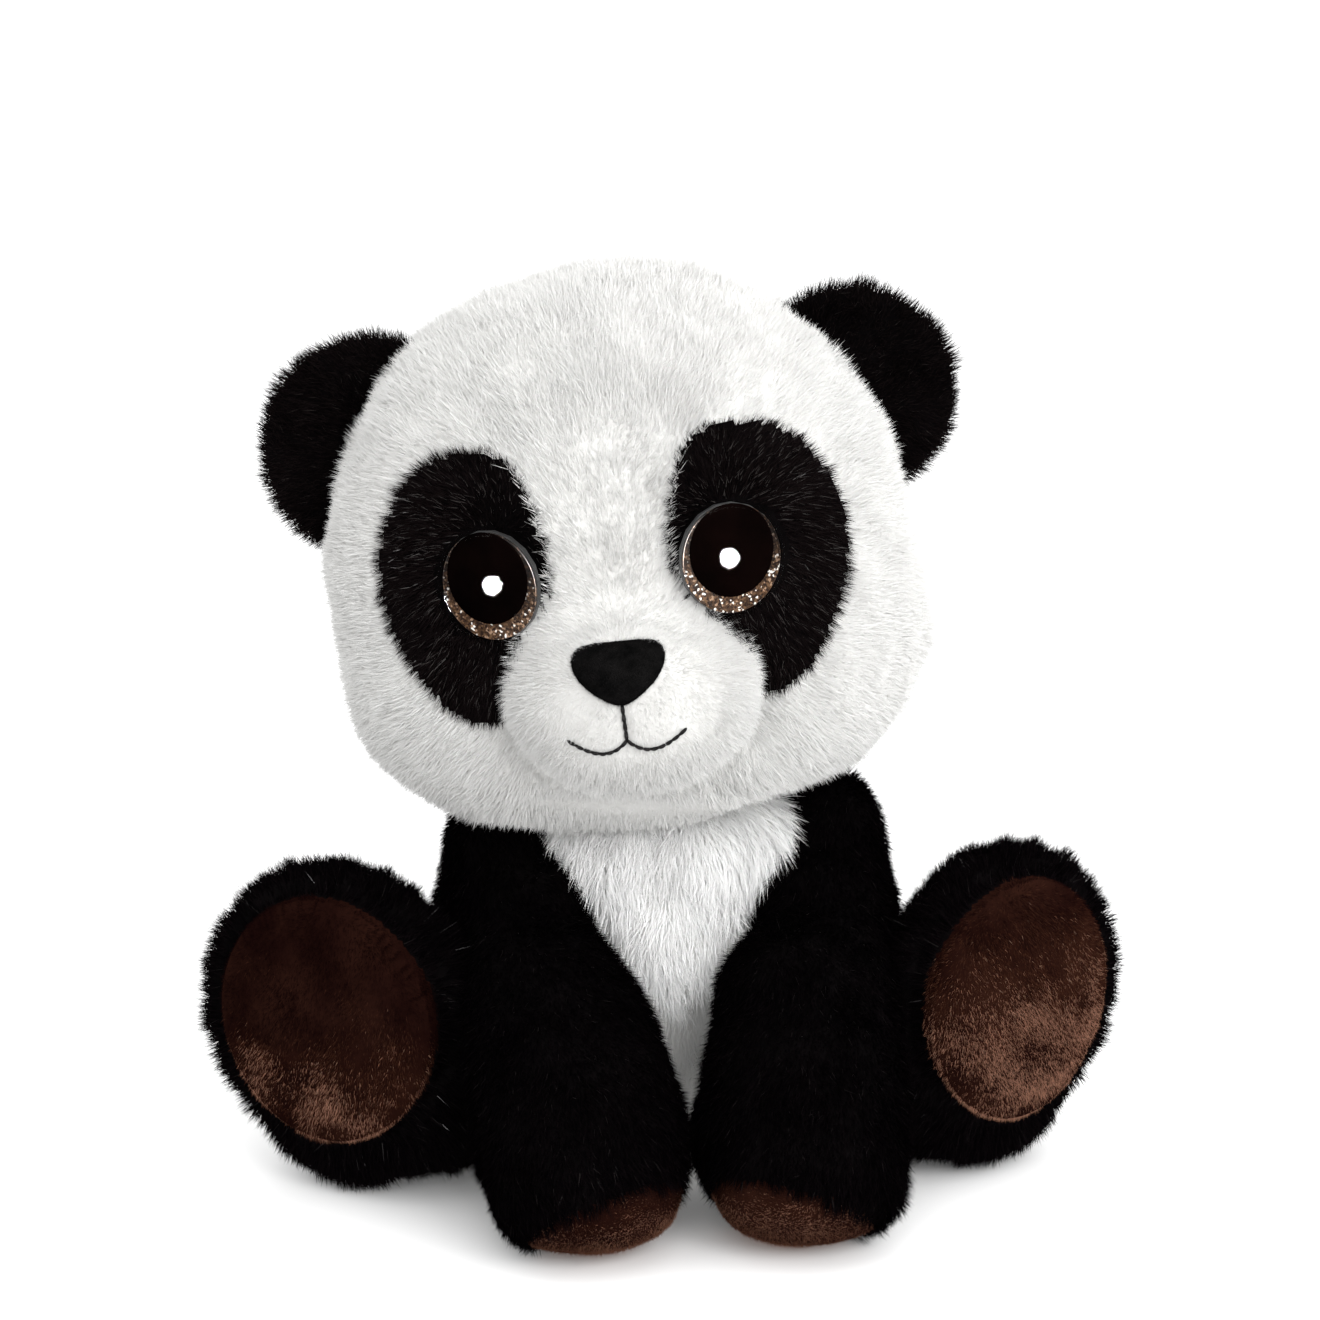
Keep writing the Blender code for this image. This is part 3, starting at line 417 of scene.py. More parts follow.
# One kind of pile: fibres for each square millimetre, their size and lean, and how they droop and clump
Pile = namedtuple("Pile", "density length width lean droop tuft gather segments stray")
HEAD_PILE = Pile(3.8, 4.0, 0.30, 0.55, 0.10, 4.0, 0.12, 1, 0.14)
BIB_PILE = Pile(6.0, 8.0, 0.26, 0.78, 0.35, 3.2, 0.40, 2, 0.15)
BODY_PILE = Pile(2.2, 4.6, 0.36, 0.55, 0.2, 3.6, 0.3, 1, 0.3)
LIMB_PILE = Pile(5.5, 3.6, 0.25, 0.55, 0.2, 3.0, 0.30, 1, 0.15)
EAR_PILE = Pile(6.0, 3.8, 0.24, 0.50, 0.05, 3.0, 0.35, 1, 0.15)
PATCH_PILE = Pile(7.5, 2.9, 0.21, 0.45, 0.1, 2.2, 0.30, 1, 0.15)
SNOUT_PILE = Pile(6.5, 3.0, 0.20, 0.5, 0.1, 1.8, 0.2, 1, 0.2)
PAD_PILE = Pile(14.0, 1.5, 0.13, 0.70, 0.1, 2.0, 0.15, 1, 0.15)
NOSE_PILE = Pile(12.0, 0.7, 0.12, 0.4, 0.0, 1.0, 0.1, 1, 0.3)


def scatter(skin, density, rng):
    """Random points over a skin, with the skin's normals."""
    mesh = skin.data
    mesh.calc_loop_triangles()
    corners = np.empty(len(mesh.loop_triangles) * 3, np.int32)
    mesh.loop_triangles.foreach_get("vertices", corners)
    corners = corners.reshape(-1, 3)
    points = mesh_points(skin)
    normals = read_rows(mesh.vertices, "normal")
    a, b, c = (points[corners[:, k]] for k in range(3))
    areas = np.linalg.norm(np.cross(b - a, c - a), axis=1) / 2
    count = int(areas.sum() * density)
    chosen = np.searchsorted(np.cumsum(areas), rng.uniform(0, areas.sum(), count))
    chosen = np.minimum(chosen, len(corners) - 1)
    u, v = rng.uniform(size=(2, count, 1))
    flip = u + v > 1
    u, v = np.where(flip, 1 - u, u), np.where(flip, 1 - v, v)
    shares = (1 - u - v, u, v)
    spots = sum(share * points[corners[chosen, k]] for k, share in enumerate(shares))
    facing = sum(share * normals[corners[chosen, k]] for k, share in enumerate(shares))
    return spots, unit(facing)


def grow_pile(name, skin, pile, comb, tones, seed, tone_of=None, length_of=None, keep=None, glints=0.012):
    """Pile on a skin: each fibre is a tapering blade that leans along the comb direction."""
    rng = np.random.default_rng(seed)
    roots, normals = scatter(skin, pile.density, rng)
    if keep is not None:
        kept = keep(roots)
        roots, normals = roots[kept], normals[kept]
    count = len(roots)
    flow = comb(roots)
    flow = unit(flow - normals * (flow * normals).sum(1, keepdims=True))
    flow = unit(flow + pile.stray * ripple(roots, 14.0, seed + 1) + 0.25 * rng.normal(size=(count, 3)))
    cells = np.floor((roots + 1.2 * ripple(roots, 9.0, seed + 2)) / pile.tuft).astype(np.int64)
    keys = (cells * np.array([73856093, 19349663, 83492791])).sum(1) % TUFT_KEYS
    tuft_ways = rng.normal(size=(TUFT_KEYS, 3))
    tuft_lengths = rng.normal(size=TUFT_KEYS)
    length = pile.length * (1 + 0.10 * tuft_lengths[keys] + 0.10 * rng.normal(size=count))
    length *= 1 + 0.10 * ripple(roots, 22.0, seed + 3)[:, 0]
    if length_of is not None:
        length *= length_of(roots)
    length = np.clip(length, 0.3, pile.length * 1.5)[:, None]
    base = unit(normals * (1 - pile.lean) + flow * pile.lean + 0.08 * rng.normal(size=(count, 3)))
    down = np.array([0.0, 0.0, -1.0])
    tip = unit(base + flow * 0.45 + down * pile.droop + pile.gather * 0.45 * tuft_ways[keys])
    turn = rng.uniform(-1.1, 1.1, (count, 1))
    side = unit(np.cross(base, normals) + 1e-4 * rng.normal(size=(count, 3)))
    side = side * np.cos(turn) + np.cross(base, side) * np.sin(turn)

    segments = pile.segments
    spine = [roots - normals * 0.25]
    for step in range(segments):
        share = (step + 0.5) / segments
        spine.append(spine[-1] + unit(base * (1 - share) + tip * share) * length / segments)
    rows = []
    for step, place in enumerate(spine[:-1]):
        half = 0.5 * pile.width * (1 - 0.55 * step / segments)
        rows += [place - side * half, place + side * half]
    rows.append(spine[-1])
    points = np.stack(rows, 1).reshape(-1, 3)
    points[:, 2] = np.maximum(points[:, 2], FLOOR_CLEARANCE)

    per_fibre = 2 * segments + 1
    pattern = []
    for step in range(segments - 1):
        low = 2 * step
        pattern += [low, low + 1, low + 3, low + 2]
    pattern += [2 * segments - 2, 2 * segments - 1, 2 * segments]
    corners = (np.arange(count)[:, None] * per_fibre + np.array(pattern)).ravel()
    starts = (np.arange(count)[:, None] * len(pattern) + 4 * np.arange(segments)).ravel()

    mesh = bpy.data.meshes.new(name)
    mesh.vertices.add(len(points))
    mesh.vertices.foreach_set("co", (points * MM).astype(np.float32).ravel())
    mesh.loops.add(len(corners))
    mesh.loops.foreach_set("vertex_index", corners.astype(np.int32))
    mesh.polygons.add(len(starts))
    mesh.polygons.foreach_set("loop_start", starts.astype(np.int32))
    if tone_of is None:
        tone = np.where(rng.uniform(size=count) < 0.45, 1, 0)
        tone = np.where(rng.uniform(size=count) < glints, len(tones) - 1, tone)
    else:
        tone = tone_of(roots, rng)
    for material in tones:
        mesh.materials.append(material)
    mesh.polygons.foreach_set("material_index", np.repeat(tone, segments).astype(np.int32))
    mesh.polygons.foreach_set("use_smooth", np.ones(len(starts), bool))
    mesh.update(calc_edges=True)
    return in_scene(name, mesh)


def clothe(name, skin, pile, comb, tones, seed, body, slot, **more):
    """Pile grown on a skin, riding on the skin's body."""
    attach(grow_pile(name, skin, pile, comb, tones, seed, **more), body)


def along(*direction):
    """Comb direction along a line."""
    way = np.array(direction) / np.linalg.norm(direction)
    return lambda points: np.tile(way, (len(points), 1))


# ---- head ----

NECK = joint_place("head_turn")
HEAD_AXES = np.array(Euler((0.0, math.radians(HEAD_TILT_DEG), math.radians(HEAD_TURN_DEG))).to_matrix())


def head_to_world(local):
    """Points of the head, from its own centre and axes into the frame."""
    return NECK + (np.asarray(local) + np.array([0.0, 0.0, HEAD_ABOVE_PIVOT])) @ HEAD_AXES.T


def world_to_head(points):
    """Points of the frame in the head's own axes."""
    return (np.asarray(points) - NECK) @ HEAD_AXES - np.array([0.0, 0.0, HEAD_ABOVE_PIVOT])


def head_to_world_ways(ways):
    """Directions of the head, turned into the frame."""
    return np.asarray(ways) @ HEAD_AXES.T


def head_comb(centre, lean=(0.0, 0.0, 0.0)):
    """Comb direction away from a point of the head, with a lean added."""
    return lambda points: head_to_world_ways(unit(world_to_head(points) - np.array(centre)) + np.array(lean))


def head_surface(share, azimuth):
    """Points of the head's skin; share runs from 1 at the crown to -1 under the chin."""
    power = np.where(share > 0, CROWN_POWER, CHIN_POWER)
    reach = np.where(share > 0, HEAD_CROWN, HEAD_CHIN) - HEAD_PILE_DEPTH
    scale = (1 - np.abs(share) ** power) ** (1 / power)
    cosine = np.cos(azimuth)
    sine = np.sin(azimuth)
    half_depth = np.where(sine > 0, HEAD_HALF_BACK, HEAD_HALF_FRONT) - HEAD_PILE_DEPTH
    half_width = HEAD_HALF_WIDTH - HEAD_PILE_DEPTH
    x = half_width * scale * np.sign(cosine) * np.abs(cosine) ** (2 / HEAD_PLAN_POWER)
    y = half_depth * scale * np.sign(sine) * np.abs(sine) ** (2 / HEAD_PLAN_POWER)
    return np.stack([x, y, HEAD_WIDEST_Z + reach * share], 1)


def packed_front_y(x, z):
    """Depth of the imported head's front at (x, z) of its upper half."""
    share = (z - HEAD_WIDEST_Z) / HEAD_CROWN
    scale = (1 - share ** CROWN_POWER) ** (1 / CROWN_POWER)
    side = (abs(x) / (HEAD_HALF_WIDTH * scale)) ** HEAD_PLAN_POWER
    return -HEAD_HALF_FRONT * scale * (1 - side) ** (1 / HEAD_PLAN_POWER)


def in_patch(local, side, grow=0.0):
    """True for points of the head within one eye patch, whose outline is pushed out by grow."""
    corners = np.array(PATCH_OUTLINE, float)
    away = corners - corners.mean(axis=0)
    corners = corners + grow * away / np.linalg.norm(away, axis=1, keepdims=True)
    outline = [(side * x, z) for x, z in corners]
    return (local[:, 1] < -12) & inside_outline(local[:, 0], local[:, 2], outline)


def muzzle_reach(local):
    """Distance from the muzzle's middle as a share of its outline."""
    across = (local[:, 0] - MUZZLE_CENTRE[0]) / MUZZLE_RADII[0]
    up = (local[:, 2] - MUZZLE_CENTRE[2]) / MUZZLE_RADII[2]
    return np.where(local[:, 1] < -20, np.hypot(across, up), 9.0)


def sculpt_head(points):
    """Sockets round the eyes, full cheeks, a hollow round the muzzle and a smooth run into its top."""
    front = points[:, 1] < 0
    for side, _ in SIDES:
        away = np.hypot(points[:, 0] - side * EYE_CENTRE[0], points[:, 2] - EYE_CENTRE[1])
        points[:, 1] += np.where(front, EYE_SOCKET_DEPTH * np.exp(-(away / EYE_SOCKET_REACH) ** 2), 0.0)
        cheek = np.hypot(points[:, 0] - side * CHEEK_CENTRE[0], points[:, 2] - CHEEK_CENTRE[1])
        points[:, 1] -= np.where(front, CHEEK_FULLNESS * np.exp(-(cheek / CHEEK_REACH) ** 2), 0.0)
    ring = muzzle_reach(points)
    above = above_muzzle(points)
    points[:, 1] += MUZZLE_HOLLOW * np.exp(-((ring - 1.05) / 0.12) ** 2) * (1 - above)
    snout = muzzle_surface(points[:, 0], points[:, 2]) + BRIDGE_FALL * np.maximum(ring ** 2 - 1, 0)
    fillet = -np.logaddexp(-points[:, 1] / BRIDGE_BLEND, -snout / BRIDGE_BLEND) * BRIDGE_BLEND
    sunk = 2.0 * np.clip((0.78 - ring) / 0.18, 0, 1)
    points[:, 1] += (fillet + sunk - points[:, 1]) * above
    points[:, 1] += fold_depth(points) * front
    return points + 0.5 * ripple(points, 38.0, 5)


def above_muzzle(local):
    """Share of the way up from the muzzle's middle to the bridge, from 0 to 1."""
    return np.clip((local[:, 2] - MUZZLE_CENTRE[2] - 3.0) / 9.0, 0, 1)


def fold_depth(points):
    """How deep the face cloth is tucked in under the chin, below a lip that stands out a little."""
    across = points[:, 0] - MUZZLE_CENTRE[0]
    over = points[:, 2] - CHIN_TUCK_Z - CHIN_TUCK_SLOPE * across
    span = np.exp(-(across / 27.0) ** 4)
    step = np.where(over < 0, np.exp(np.minimum(over, 0.0) / 3.5), np.exp(-(over / 0.7) ** 2))
    lip = np.exp(-((over - 3.2) / 2.4) ** 2)
    pleats = 0.0
    for place, slope in PLEATS:
        line = across - place + slope * over
        pleats = pleats + 2.4 * np.exp(-(line / 1.5) ** 2) * np.exp(-((over - 4.5) / 4.0) ** 2)
    return span * (5.5 * step - 1.8 * lip) + pleats


def build_head():
    """Face, back and patches of the head, with their pile."""
    shares = np.sin(np.linspace(math.radians(88.5), math.radians(-88.5), HEAD_ROWS))
    azimuths = np.linspace(0, CIRCLE, HEAD_COLUMNS, endpoint=False)
    share_grid, azimuth_grid = np.meshgrid(shares, azimuths, indexing="ij")
    local = sculpt_head(head_surface(share_grid.ravel(), azimuth_grid.ravel()))
    faces = [face[::-1] for face in grid_faces(HEAD_ROWS, HEAD_COLUMNS)]
    faces.append(tuple(range(HEAD_COLUMNS)))
    faces.append(tuple(range((HEAD_ROWS - 1) * HEAD_COLUMNS, HEAD_ROWS * HEAD_COLUMNS))[::-1])
    whole = new_piece("head_form", head_to_world(local), faces)
    centres = world_to_head(face_centres(whole))
    back = centres[:, 1] > HEAD_SEAM_Y
    patches = {word: in_patch(centres, side) & ~back for side, word in SIDES}
    face = ~back & ~patches["left"] & ~patches["right"]

    face_skin = cut(whole, "head_face", face, WHITE_GROUND, "head",
                    ["head_face_panel", "head_stuffing"])
    back_skin = cut(whole, "head_back", back, WHITE_GROUND, "head", ["head_back_panel"])

    def keep_white(points):
        spots = world_to_head(points)
        clear = muzzle_reach(spots) > 0.93 - 0.27 * above_muzzle(spots)
        for side, _ in SIDES:
            clear &= ~in_patch(spots, side, -0.6)
        return clear

    def comb_head(points):
        spots = world_to_head(points)
        backward = np.clip(spots[:, 1:2] / 40.0, 0, 1)
        lean = np.array([0.0, 0.25, -0.15]) - backward * np.array([0.0, 0.0, 1.2])
        return head_to_world_ways(unit(spots - np.array(FACE_WHORL)) + lean)

    def head_length(points):
        spots = world_to_head(points)
        seam = np.abs(spots[:, 1] - HEAD_SEAM_Y)
        short = 1 - 0.45 * np.exp(-(seam / 2.2) ** 2)
        short *= 0.50 + 0.50 * np.clip((muzzle_reach(spots) - 0.6) / 0.7, 0, 1)
        beside = np.abs(spots[:, 0])
        brow = np.exp(-((beside / 16.0) ** 4)) * (spots[:, 1] < 0) * (spots[:, 2] < 30)
        (x0, z0), (x1, z1) = SEAM_PARTING
        out = beside - x0
        up = spots[:, 2] - z0
        share = np.clip((out * (x1 - x0) + up * (z1 - z0)) / ((x1 - x0) ** 2 + (z1 - z0) ** 2), 0, 1)
        off_seam = np.hypot(out - share * (x1 - x0), up - share * (z1 - z0))
        parting = np.exp(-(off_seam / 1.3) ** 2) * (spots[:, 1] < 0)
        folds = np.clip(fold_depth(spots) / 2.5, 0, 1)
        return short * (1 - 0.25 * brow) * (1 - 0.4 * parting) * (1 - 0.7 * folds)

    for name, skin, seed in (("head_face_pile", face_skin, 11), ("head_back_pile", back_skin, 12)):
        clothe(name, skin, HEAD_PILE, comb_head, WHITE_FIBRES, seed, "head", "white_plush",
               length_of=head_length, keep=keep_white)
    for side, word in SIDES:
        patch = cut(whole, "eye_patch_cloth_" + word, patches[word], BLACK_GROUND, "head",
                    ["eye_patch_" + word])

        def keep_patch(points, side=side):
            spots = world_to_head(points)
            away = np.hypot(spots[:, 0] - side * EYE_CENTRE[0], spots[:, 2] - EYE_CENTRE[1])
            return (away > EYE_RADIUS - 0.6) & (muzzle_reach(spots) > 0.95)

        comb = head_comb((side * EYE_CENTRE[0], -48.0, EYE_CENTRE[1] + 4.0), (0.0, 0.0, -0.35))
        clothe("eye_patch_pile_" + word, patch, PATCH_PILE, comb, PATCH_FIBRES, 20 + side, "head",
               "black_plush", keep=keep_patch, glints=0.06)
    remove(whole)


def muzzle_surface(x, z, lift=0.0):
    """Depth of the muzzle's front at (x, z), with its parting under the nose."""
    across = (x - MUZZLE_CENTRE[0]) / (MUZZLE_RADII[0] + lift)
    up = (z - MUZZLE_CENTRE[2]) / (MUZZLE_RADII[2] + lift)
    fullness = 0.5 + 0.75 * np.clip(up, 0.0, 1.0)
    dome = np.maximum(1 - across * across - up * up, 0.0) ** fullness
    groove = 1.1 * np.exp(-(x / 1.7) ** 2) * np.exp(-((z + 29.5) / 5.5) ** 2)
    return MUZZLE_CENTRE[1] - (MUZZLE_RADII[1] + lift) * dome + groove


def smile_point(share):
    """(x, z) of the mouth line; share runs from -1 at one corner to 1 at the other."""
    reach = abs(share)
    x = SMILE_HALF_WIDTH * share
    z = LIP_END_Z - SMILE_DROP * math.sin(math.pi * reach ** 0.85) + SMILE_END_RISE * reach ** 2
    return x, z


def build_muzzle():
    """Padded muzzle with its short pile."""
    rows = 40
    columns = 96
    local = []
    for row in range(rows):
        angle = math.radians(90 * (1 - row / (rows - 1))) if row else math.radians(89)
        scale = math.cos(angle)
        for column in range(columns):
            turn = CIRCLE * column / columns
            x = MUZZLE_CENTRE[0] + MUZZLE_RADII[0] * scale * math.cos(turn)
            z = MUZZLE_CENTRE[2] + MUZZLE_RADII[2] * scale * math.sin(turn)
            local.append((x, float(muzzle_surface(x, z)), z))
    for column in range(columns):
        x, _, z = local[(rows - 1) * columns + column]
        local.append((x * 0.97, MUZZLE_CENTRE[1] + 12.0, z))
    faces = [face[::-1] for face in grid_faces(rows + 1, columns)]
    faces.append(tuple(range(columns)))
    skin = closed_piece("muzzle_cloth", head_to_world(local), faces, MUZZLE_GROUND)
    attach(skin, "head", ["muzzle_panel", "muzzle_stuffing"])

    def keep_muzzle(points):
        spots = world_to_head(points)
        across = spots[:, 0] / (NOSE_HALF_WIDTH * 0.9)
        up = (spots[:, 2] - NOSE_CENTRE_Z) / (NOSE_HALF_HEIGHT * 0.9)
        return np.hypot(across, up) > 1

    def muzzle_length(points):
        spots = world_to_head(points)
        return 0.45 + 1.6 * np.clip(muzzle_reach(spots) - 0.45, 0, 0.55)

    def muzzle_tone(points, rng):
        spots = world_to_head(points)
        tone = (rng.uniform(size=len(points)) < 0.45).astype(int)
        bridge = spots[:, 2] > MUZZLE_CENTRE[2] + 9.0 + 5.0 * rng.normal(size=len(points))
        return tone + len(SNOUT_FIBRES) * bridge

    clothe("muzzle_pile", skin, SNOUT_PILE, head_comb((0.0, -74.0, -17.0), (0.0, 0.0, -0.2)),
           SNOUT_FIBRES + WHITE_FIBRES, 31, "head", "white_velour", tone_of=muzzle_tone,
           length_of=muzzle_length, keep=keep_muzzle)


def nose_edge(turn):
    """(x, z) of the nose's outline at an angle, as shares of its half width and half height."""
    upward = NOSE_OUTLINE[::-1]
    angle = math.asin(math.sin(turn))
    angles = [math.atan2(z, x) for x, z in upward]
    x = float(np.interp(angle, angles, [x for x, _ in upward]))
    z = float(np.interp(angle, angles, [z for _, z in upward]))
    return (-x if math.cos(turn) < 0 else x), z


def nose_row(share, lift, columns):
    """Points round the nose at a share of its outline."""
    row = []
    for column in range(columns):
        across, up = nose_edge(CIRCLE * column / columns)
        x = NOSE_HALF_WIDTH * across * share
        z = NOSE_CENTRE_Z + NOSE_HALF_HEIGHT * up * share
        row.append((x, float(muzzle_surface(x, z, lift)), z))
    return row


def build_nose():
    """Velour nose, a low pillow sewn down round its edge."""
    columns = 72
    sunk = [(share, -0.6) for share in (0.35, 0.75, 0.97)]
    domed = [(float(share), 0.2 + NOSE_THICKNESS * (1 - share ** 2.6) ** 0.55)
             for share in np.cos(np.linspace(0, math.radians(88), 18))]
    local = []
    for share, rise in sunk + domed:
        local += nose_row(share, rise, columns)
    faces = capped_faces(len(sunk + domed), columns)
    nose = closed_piece("nose_cushion", head_to_world(local), faces, VELOUR_BLACK)
    attach(nose, "head", ["nose_pad"])
    comb = head_comb((0.0, -60.0, -14.0))
    clothe("nose_pile", nose, NOSE_PILE, comb, NOSE_FIBRES, 41, "head", "black_velour")


def stitches(name, runs, radius, lift, node):
    """Row of thread stitches, each a short spline that dips at both ends."""
    curve = bpy.data.curves.new(name, "CURVE")
    curve.dimensions = "3D"
    curve.bevel_depth = radius * MM
    curve.bevel_resolution = 3
    curve.use_fill_caps = True
    for run in runs:
        count = max(2, round(sum(math.dist(a, b) for a, b in zip(run[:-1], run[1:])) / 1.9))
        for index in range(count):
            spline = curve.splines.new("POLY")
            shares = np.linspace((index - 0.12) / count, (index + 1.12) / count, 7)
            spline.points.add(len(shares) - 1)
            for step, share in enumerate(shares):
                place = min(max(share, 0.0), 1.0) * (len(run) - 1)
                low = min(int(place), len(run) - 2)
                x, z = (a + (b - a) * (place - low) for a, b in zip(run[low], run[low + 1]))
                rise = lift * math.sin(math.pi * step / 6) - 0.25
                world = head_to_world([[x, float(muzzle_surface(x, z)) - rise, z]])[0] * MM
                spline.points[step].co = (*world, 1.0)
                spline.points[step].radius = 0.55 + 0.45 * math.sin(math.pi * step / 6)
    curve.materials.append(THREAD)
    attach(in_scene(name, curve), "head", [node])


def build_mouth():
    """Lip line under the nose and the smile below it."""
    lip = [(0.0, LIP_TOP_Z + (LIP_END_Z - LIP_TOP_Z) * step / 8) for step in range(9)]
    stitches("lip_line_stitches", [lip], 0.46, 0.9, "lip_line_thread")
    halves = []
    for side in (1, -1):
        halves.append([(0.0, LIP_END_Z)] + [smile_point(side * step / 16) for step in range(1, 17)])
    stitches("mouth_stitches", halves, 0.42, 0.85, "mouth_thread")


def lathe(name, profile, axis, centre, material, steps=64):
    """Turned piece: profile rows are (distance along the axis, radius)."""
    across = unit(np.cross(axis, [[0.0, 0.0, 1.0]]))[0]
    up = np.cross(across, axis)
    points = []
    for distance, radius in profile:
        for step in range(steps):
            turn = CIRCLE * step / steps
            points.append(centre + axis * distance + radius * (across * math.cos(turn) + up * math.sin(turn)))
    return closed_piece(name, head_to_world(points), capped_faces(len(profile), steps), material)


def glitter_material():
    """Bronze film with coarse glitter: small flakes that differ in tone and slope, the palest of them painted
    glints, under painted shade that darkens the film towards the top.
    """
    material, tree, shader = principled("bronze_glitter", (0.12, 0.06, 0.03), 0.32, 0.2)
    shader.inputs["Metallic"].default_value = 0.3
    place = tree.nodes.new("ShaderNodeTexCoord")
    flakes = add_node(tree, "ShaderNodeTexVoronoi", Scale=2100.0)
    tint = colour_ramp(tree, GLITTER_AND_GLINT_TONES, "CONSTANT")
    slope = add_node(tree, "ShaderNodeBump", Strength=0.7, Distance=0.0004)
    height = tree.nodes.new("ShaderNodeSeparateXYZ")
    # Painted shade: a ramp over height darkens the film towards its top, as if shaded by the fur above the
    # eye.
    painted_top_shade = colour_ramp(tree, ((0.22, (1.0, 1.0, 1.0)), (0.66, (0.10, 0.075, 0.06))))
    shade = tree.nodes.new("ShaderNodeMix")
    shade.data_type = "RGBA"
    shade.blend_type = "MULTIPLY"
    shade.inputs["Factor"].default_value = 1.0
    split = tree.nodes.new("ShaderNodeSeparateColor")
    join(tree, (place, "Generated", height, "Vector"), (height, "Z", painted_top_shade, "Fac"),
         (painted_top_shade, "Color", shade, "A"), (place, "Object", flakes, "Vector"), (flakes, "Color", split, "Color"),
         (split, "Red", tint, "Fac"), (tint, "Color", shade, "B"), (shade, "Result", shader, "Base Color"),
         (split, "Green", slope, "Height"), (slope, "Normal", shader, "Normal"))
    return material


def clear_dome_material():
    """Clear acrylic dome: see-through, with a glossy face."""
    material = bpy.data.materials.new("clear_acrylic_dome")
    material.use_nodes = True
    tree = material.node_tree
    tree.nodes.remove(tree.nodes["Principled BSDF"])
    glass = add_node(tree, "ShaderNodeBsdfTransparent", Color=(0.97, 0.97, 0.97, 1.0))
    gloss = add_node(tree, "ShaderNodeBsdfGlossy", Roughness=0.03)
    angle = add_node(tree, "ShaderNodeLayerWeight", Blend=0.5)
    share = colour_ramp(tree, [(place, (grey, grey, grey)) for place, grey in
                               ((0.0, 0.012), (0.88, 0.015), (1.0, 0.10))])
    mix = tree.nodes.new("ShaderNodeMixShader")
    join(tree, (angle, "Facing", share, "Fac"), (share, "Color", mix, "Fac"), (glass, "BSDF", mix, 1),
         (gloss, "BSDF", mix, 2), (mix, "Shader", tree.nodes["Material Output"], "Surface"))
    return material


def build_eyes():
    """Clear domes over glitter film and pupil, each in its own place in the face."""
    glitter = glitter_material()
    clear = clear_dome_material()
    pupil_black = mottled("pupil_film", (0.0010, 0.0006, 0.0006), (0.0030, 0.0014, 0.0012), 0.5, 60.0, 0.0)
    for side, word in SIDES:
        x, z = EYE_CENTRE
        turn = math.radians(EYE_OUTWARD_DEG)
        axis = np.array([side * math.sin(turn), -math.cos(turn), 0.0])
        start = np.array([side * x, packed_front_y(x, z), z]) - axis * 0.8

        def turned(name, profile, nodes, material, rise=0.0):
            centre = start + np.array([0.0, 0.0, rise])
            piece = lathe(name + "_" + word, profile, axis, centre, material)
            attach(piece, "head", nodes)

        inner = EYE_RADIUS - 0.5
        turned("iris_film", [(0.1, 0.5), (0.1, inner), (0.45, inner), (0.5, inner - 0.3), (0.5, 0.5)],
               ["eye_glitter_" + word], glitter)
        turned("pupil_film", [(0.7, 0.5), (0.7, PUPIL_RADIUS - 0.1), (0.9, PUPIL_RADIUS),
                              (1.3, PUPIL_RADIUS - 0.3), (1.35, 0.5)],
               ["eye_pupil_" + word], pupil_black, PUPIL_RISE)
        dome = [(0.0, 0.3), (0.0, EYE_RADIUS + 0.2), (1.2, EYE_RADIUS + 0.35), (1.9, EYE_RADIUS + 0.1)]
        dome_radius = (EYE_RADIUS ** 2 + DOME_RISE ** 2) / (2 * DOME_RISE)
        widest = math.asin(EYE_RADIUS / dome_radius)
        for step in range(1, 28):
            tilt = widest * (1 - step / 28)
            rise = DOME_RISE - dome_radius * (1 - math.cos(tilt))
            dome.append((1.9 + rise, dome_radius * math.sin(tilt)))
        turned("eye_dome", dome, ["eye_lens_" + word], clear)


def build_ear(side, word):
    """Round cupped ear, thicker in the middle, with a crease down its front."""
    slant = math.radians(EAR_SLANT_DEG)
    down = np.array([side * math.sin(slant), 0.0, -math.cos(slant)])
    out = np.array([side * math.cos(slant), 0.0, math.sin(slant)])
    seam = np.array(EAR_SEAM_CENTRE) * np.array([side, 1.0, 1.0])
    centre = seam + out * EAR_PROUD[word] - down * EAR_UP[word]
    radius = EAR_RADIUS[word]
    rows = 26
    columns = 72
    local = []
    for row in range(rows):
        tilt = math.radians(-88 + 176 * row / (rows - 1))
        for column in range(columns):
            turn = CIRCLE * column / columns
            share = math.cos(tilt) ** 0.8
            reach = radius * share
            over = math.cos(turn) * reach
            beside = math.sin(turn) * reach
            depth = EAR_THICKNESS * math.sin(tilt) - EAR_CUP * share * share
            if tilt < 0:
                depth += EAR_CREASE * math.exp(-(beside / 6.0) ** 2) * share
            local.append(centre + out * over + down * beside * 1.03 + np.array([0.0, depth, 0.0]))
    skin = closed_piece("ear_cloth_" + word, head_to_world(local), capped_faces(rows, columns), BLACK_GROUND)
    attach(skin, "ear_" + word, ["ear_front_" + word, "ear_back_" + word])

    def outside_head(points):
        reach = np.array([HEAD_HALF_WIDTH, HEAD_HALF_BACK, HEAD_CROWN]) - 4.0
        return ((world_to_head(points) / reach) ** 2).sum(1) > 0.8

    def ear_length(points):
        spots = world_to_head(points) - centre
        rim = np.hypot(spots @ out, spots @ down) / radius
        return 0.75 + 0.3 * np.clip(rim, 0, 1) ** 3

    clothe("ear_pile_" + word, skin, EAR_PILE, head_comb(seam - out * 14.0, (0.0, 0.0, 0.05)), BLACK_FIBRES,
           50 + side, "ear_" + word, "black_plush", keep=outside_head, length_of=ear_length)


# ---- stuffed forms ----

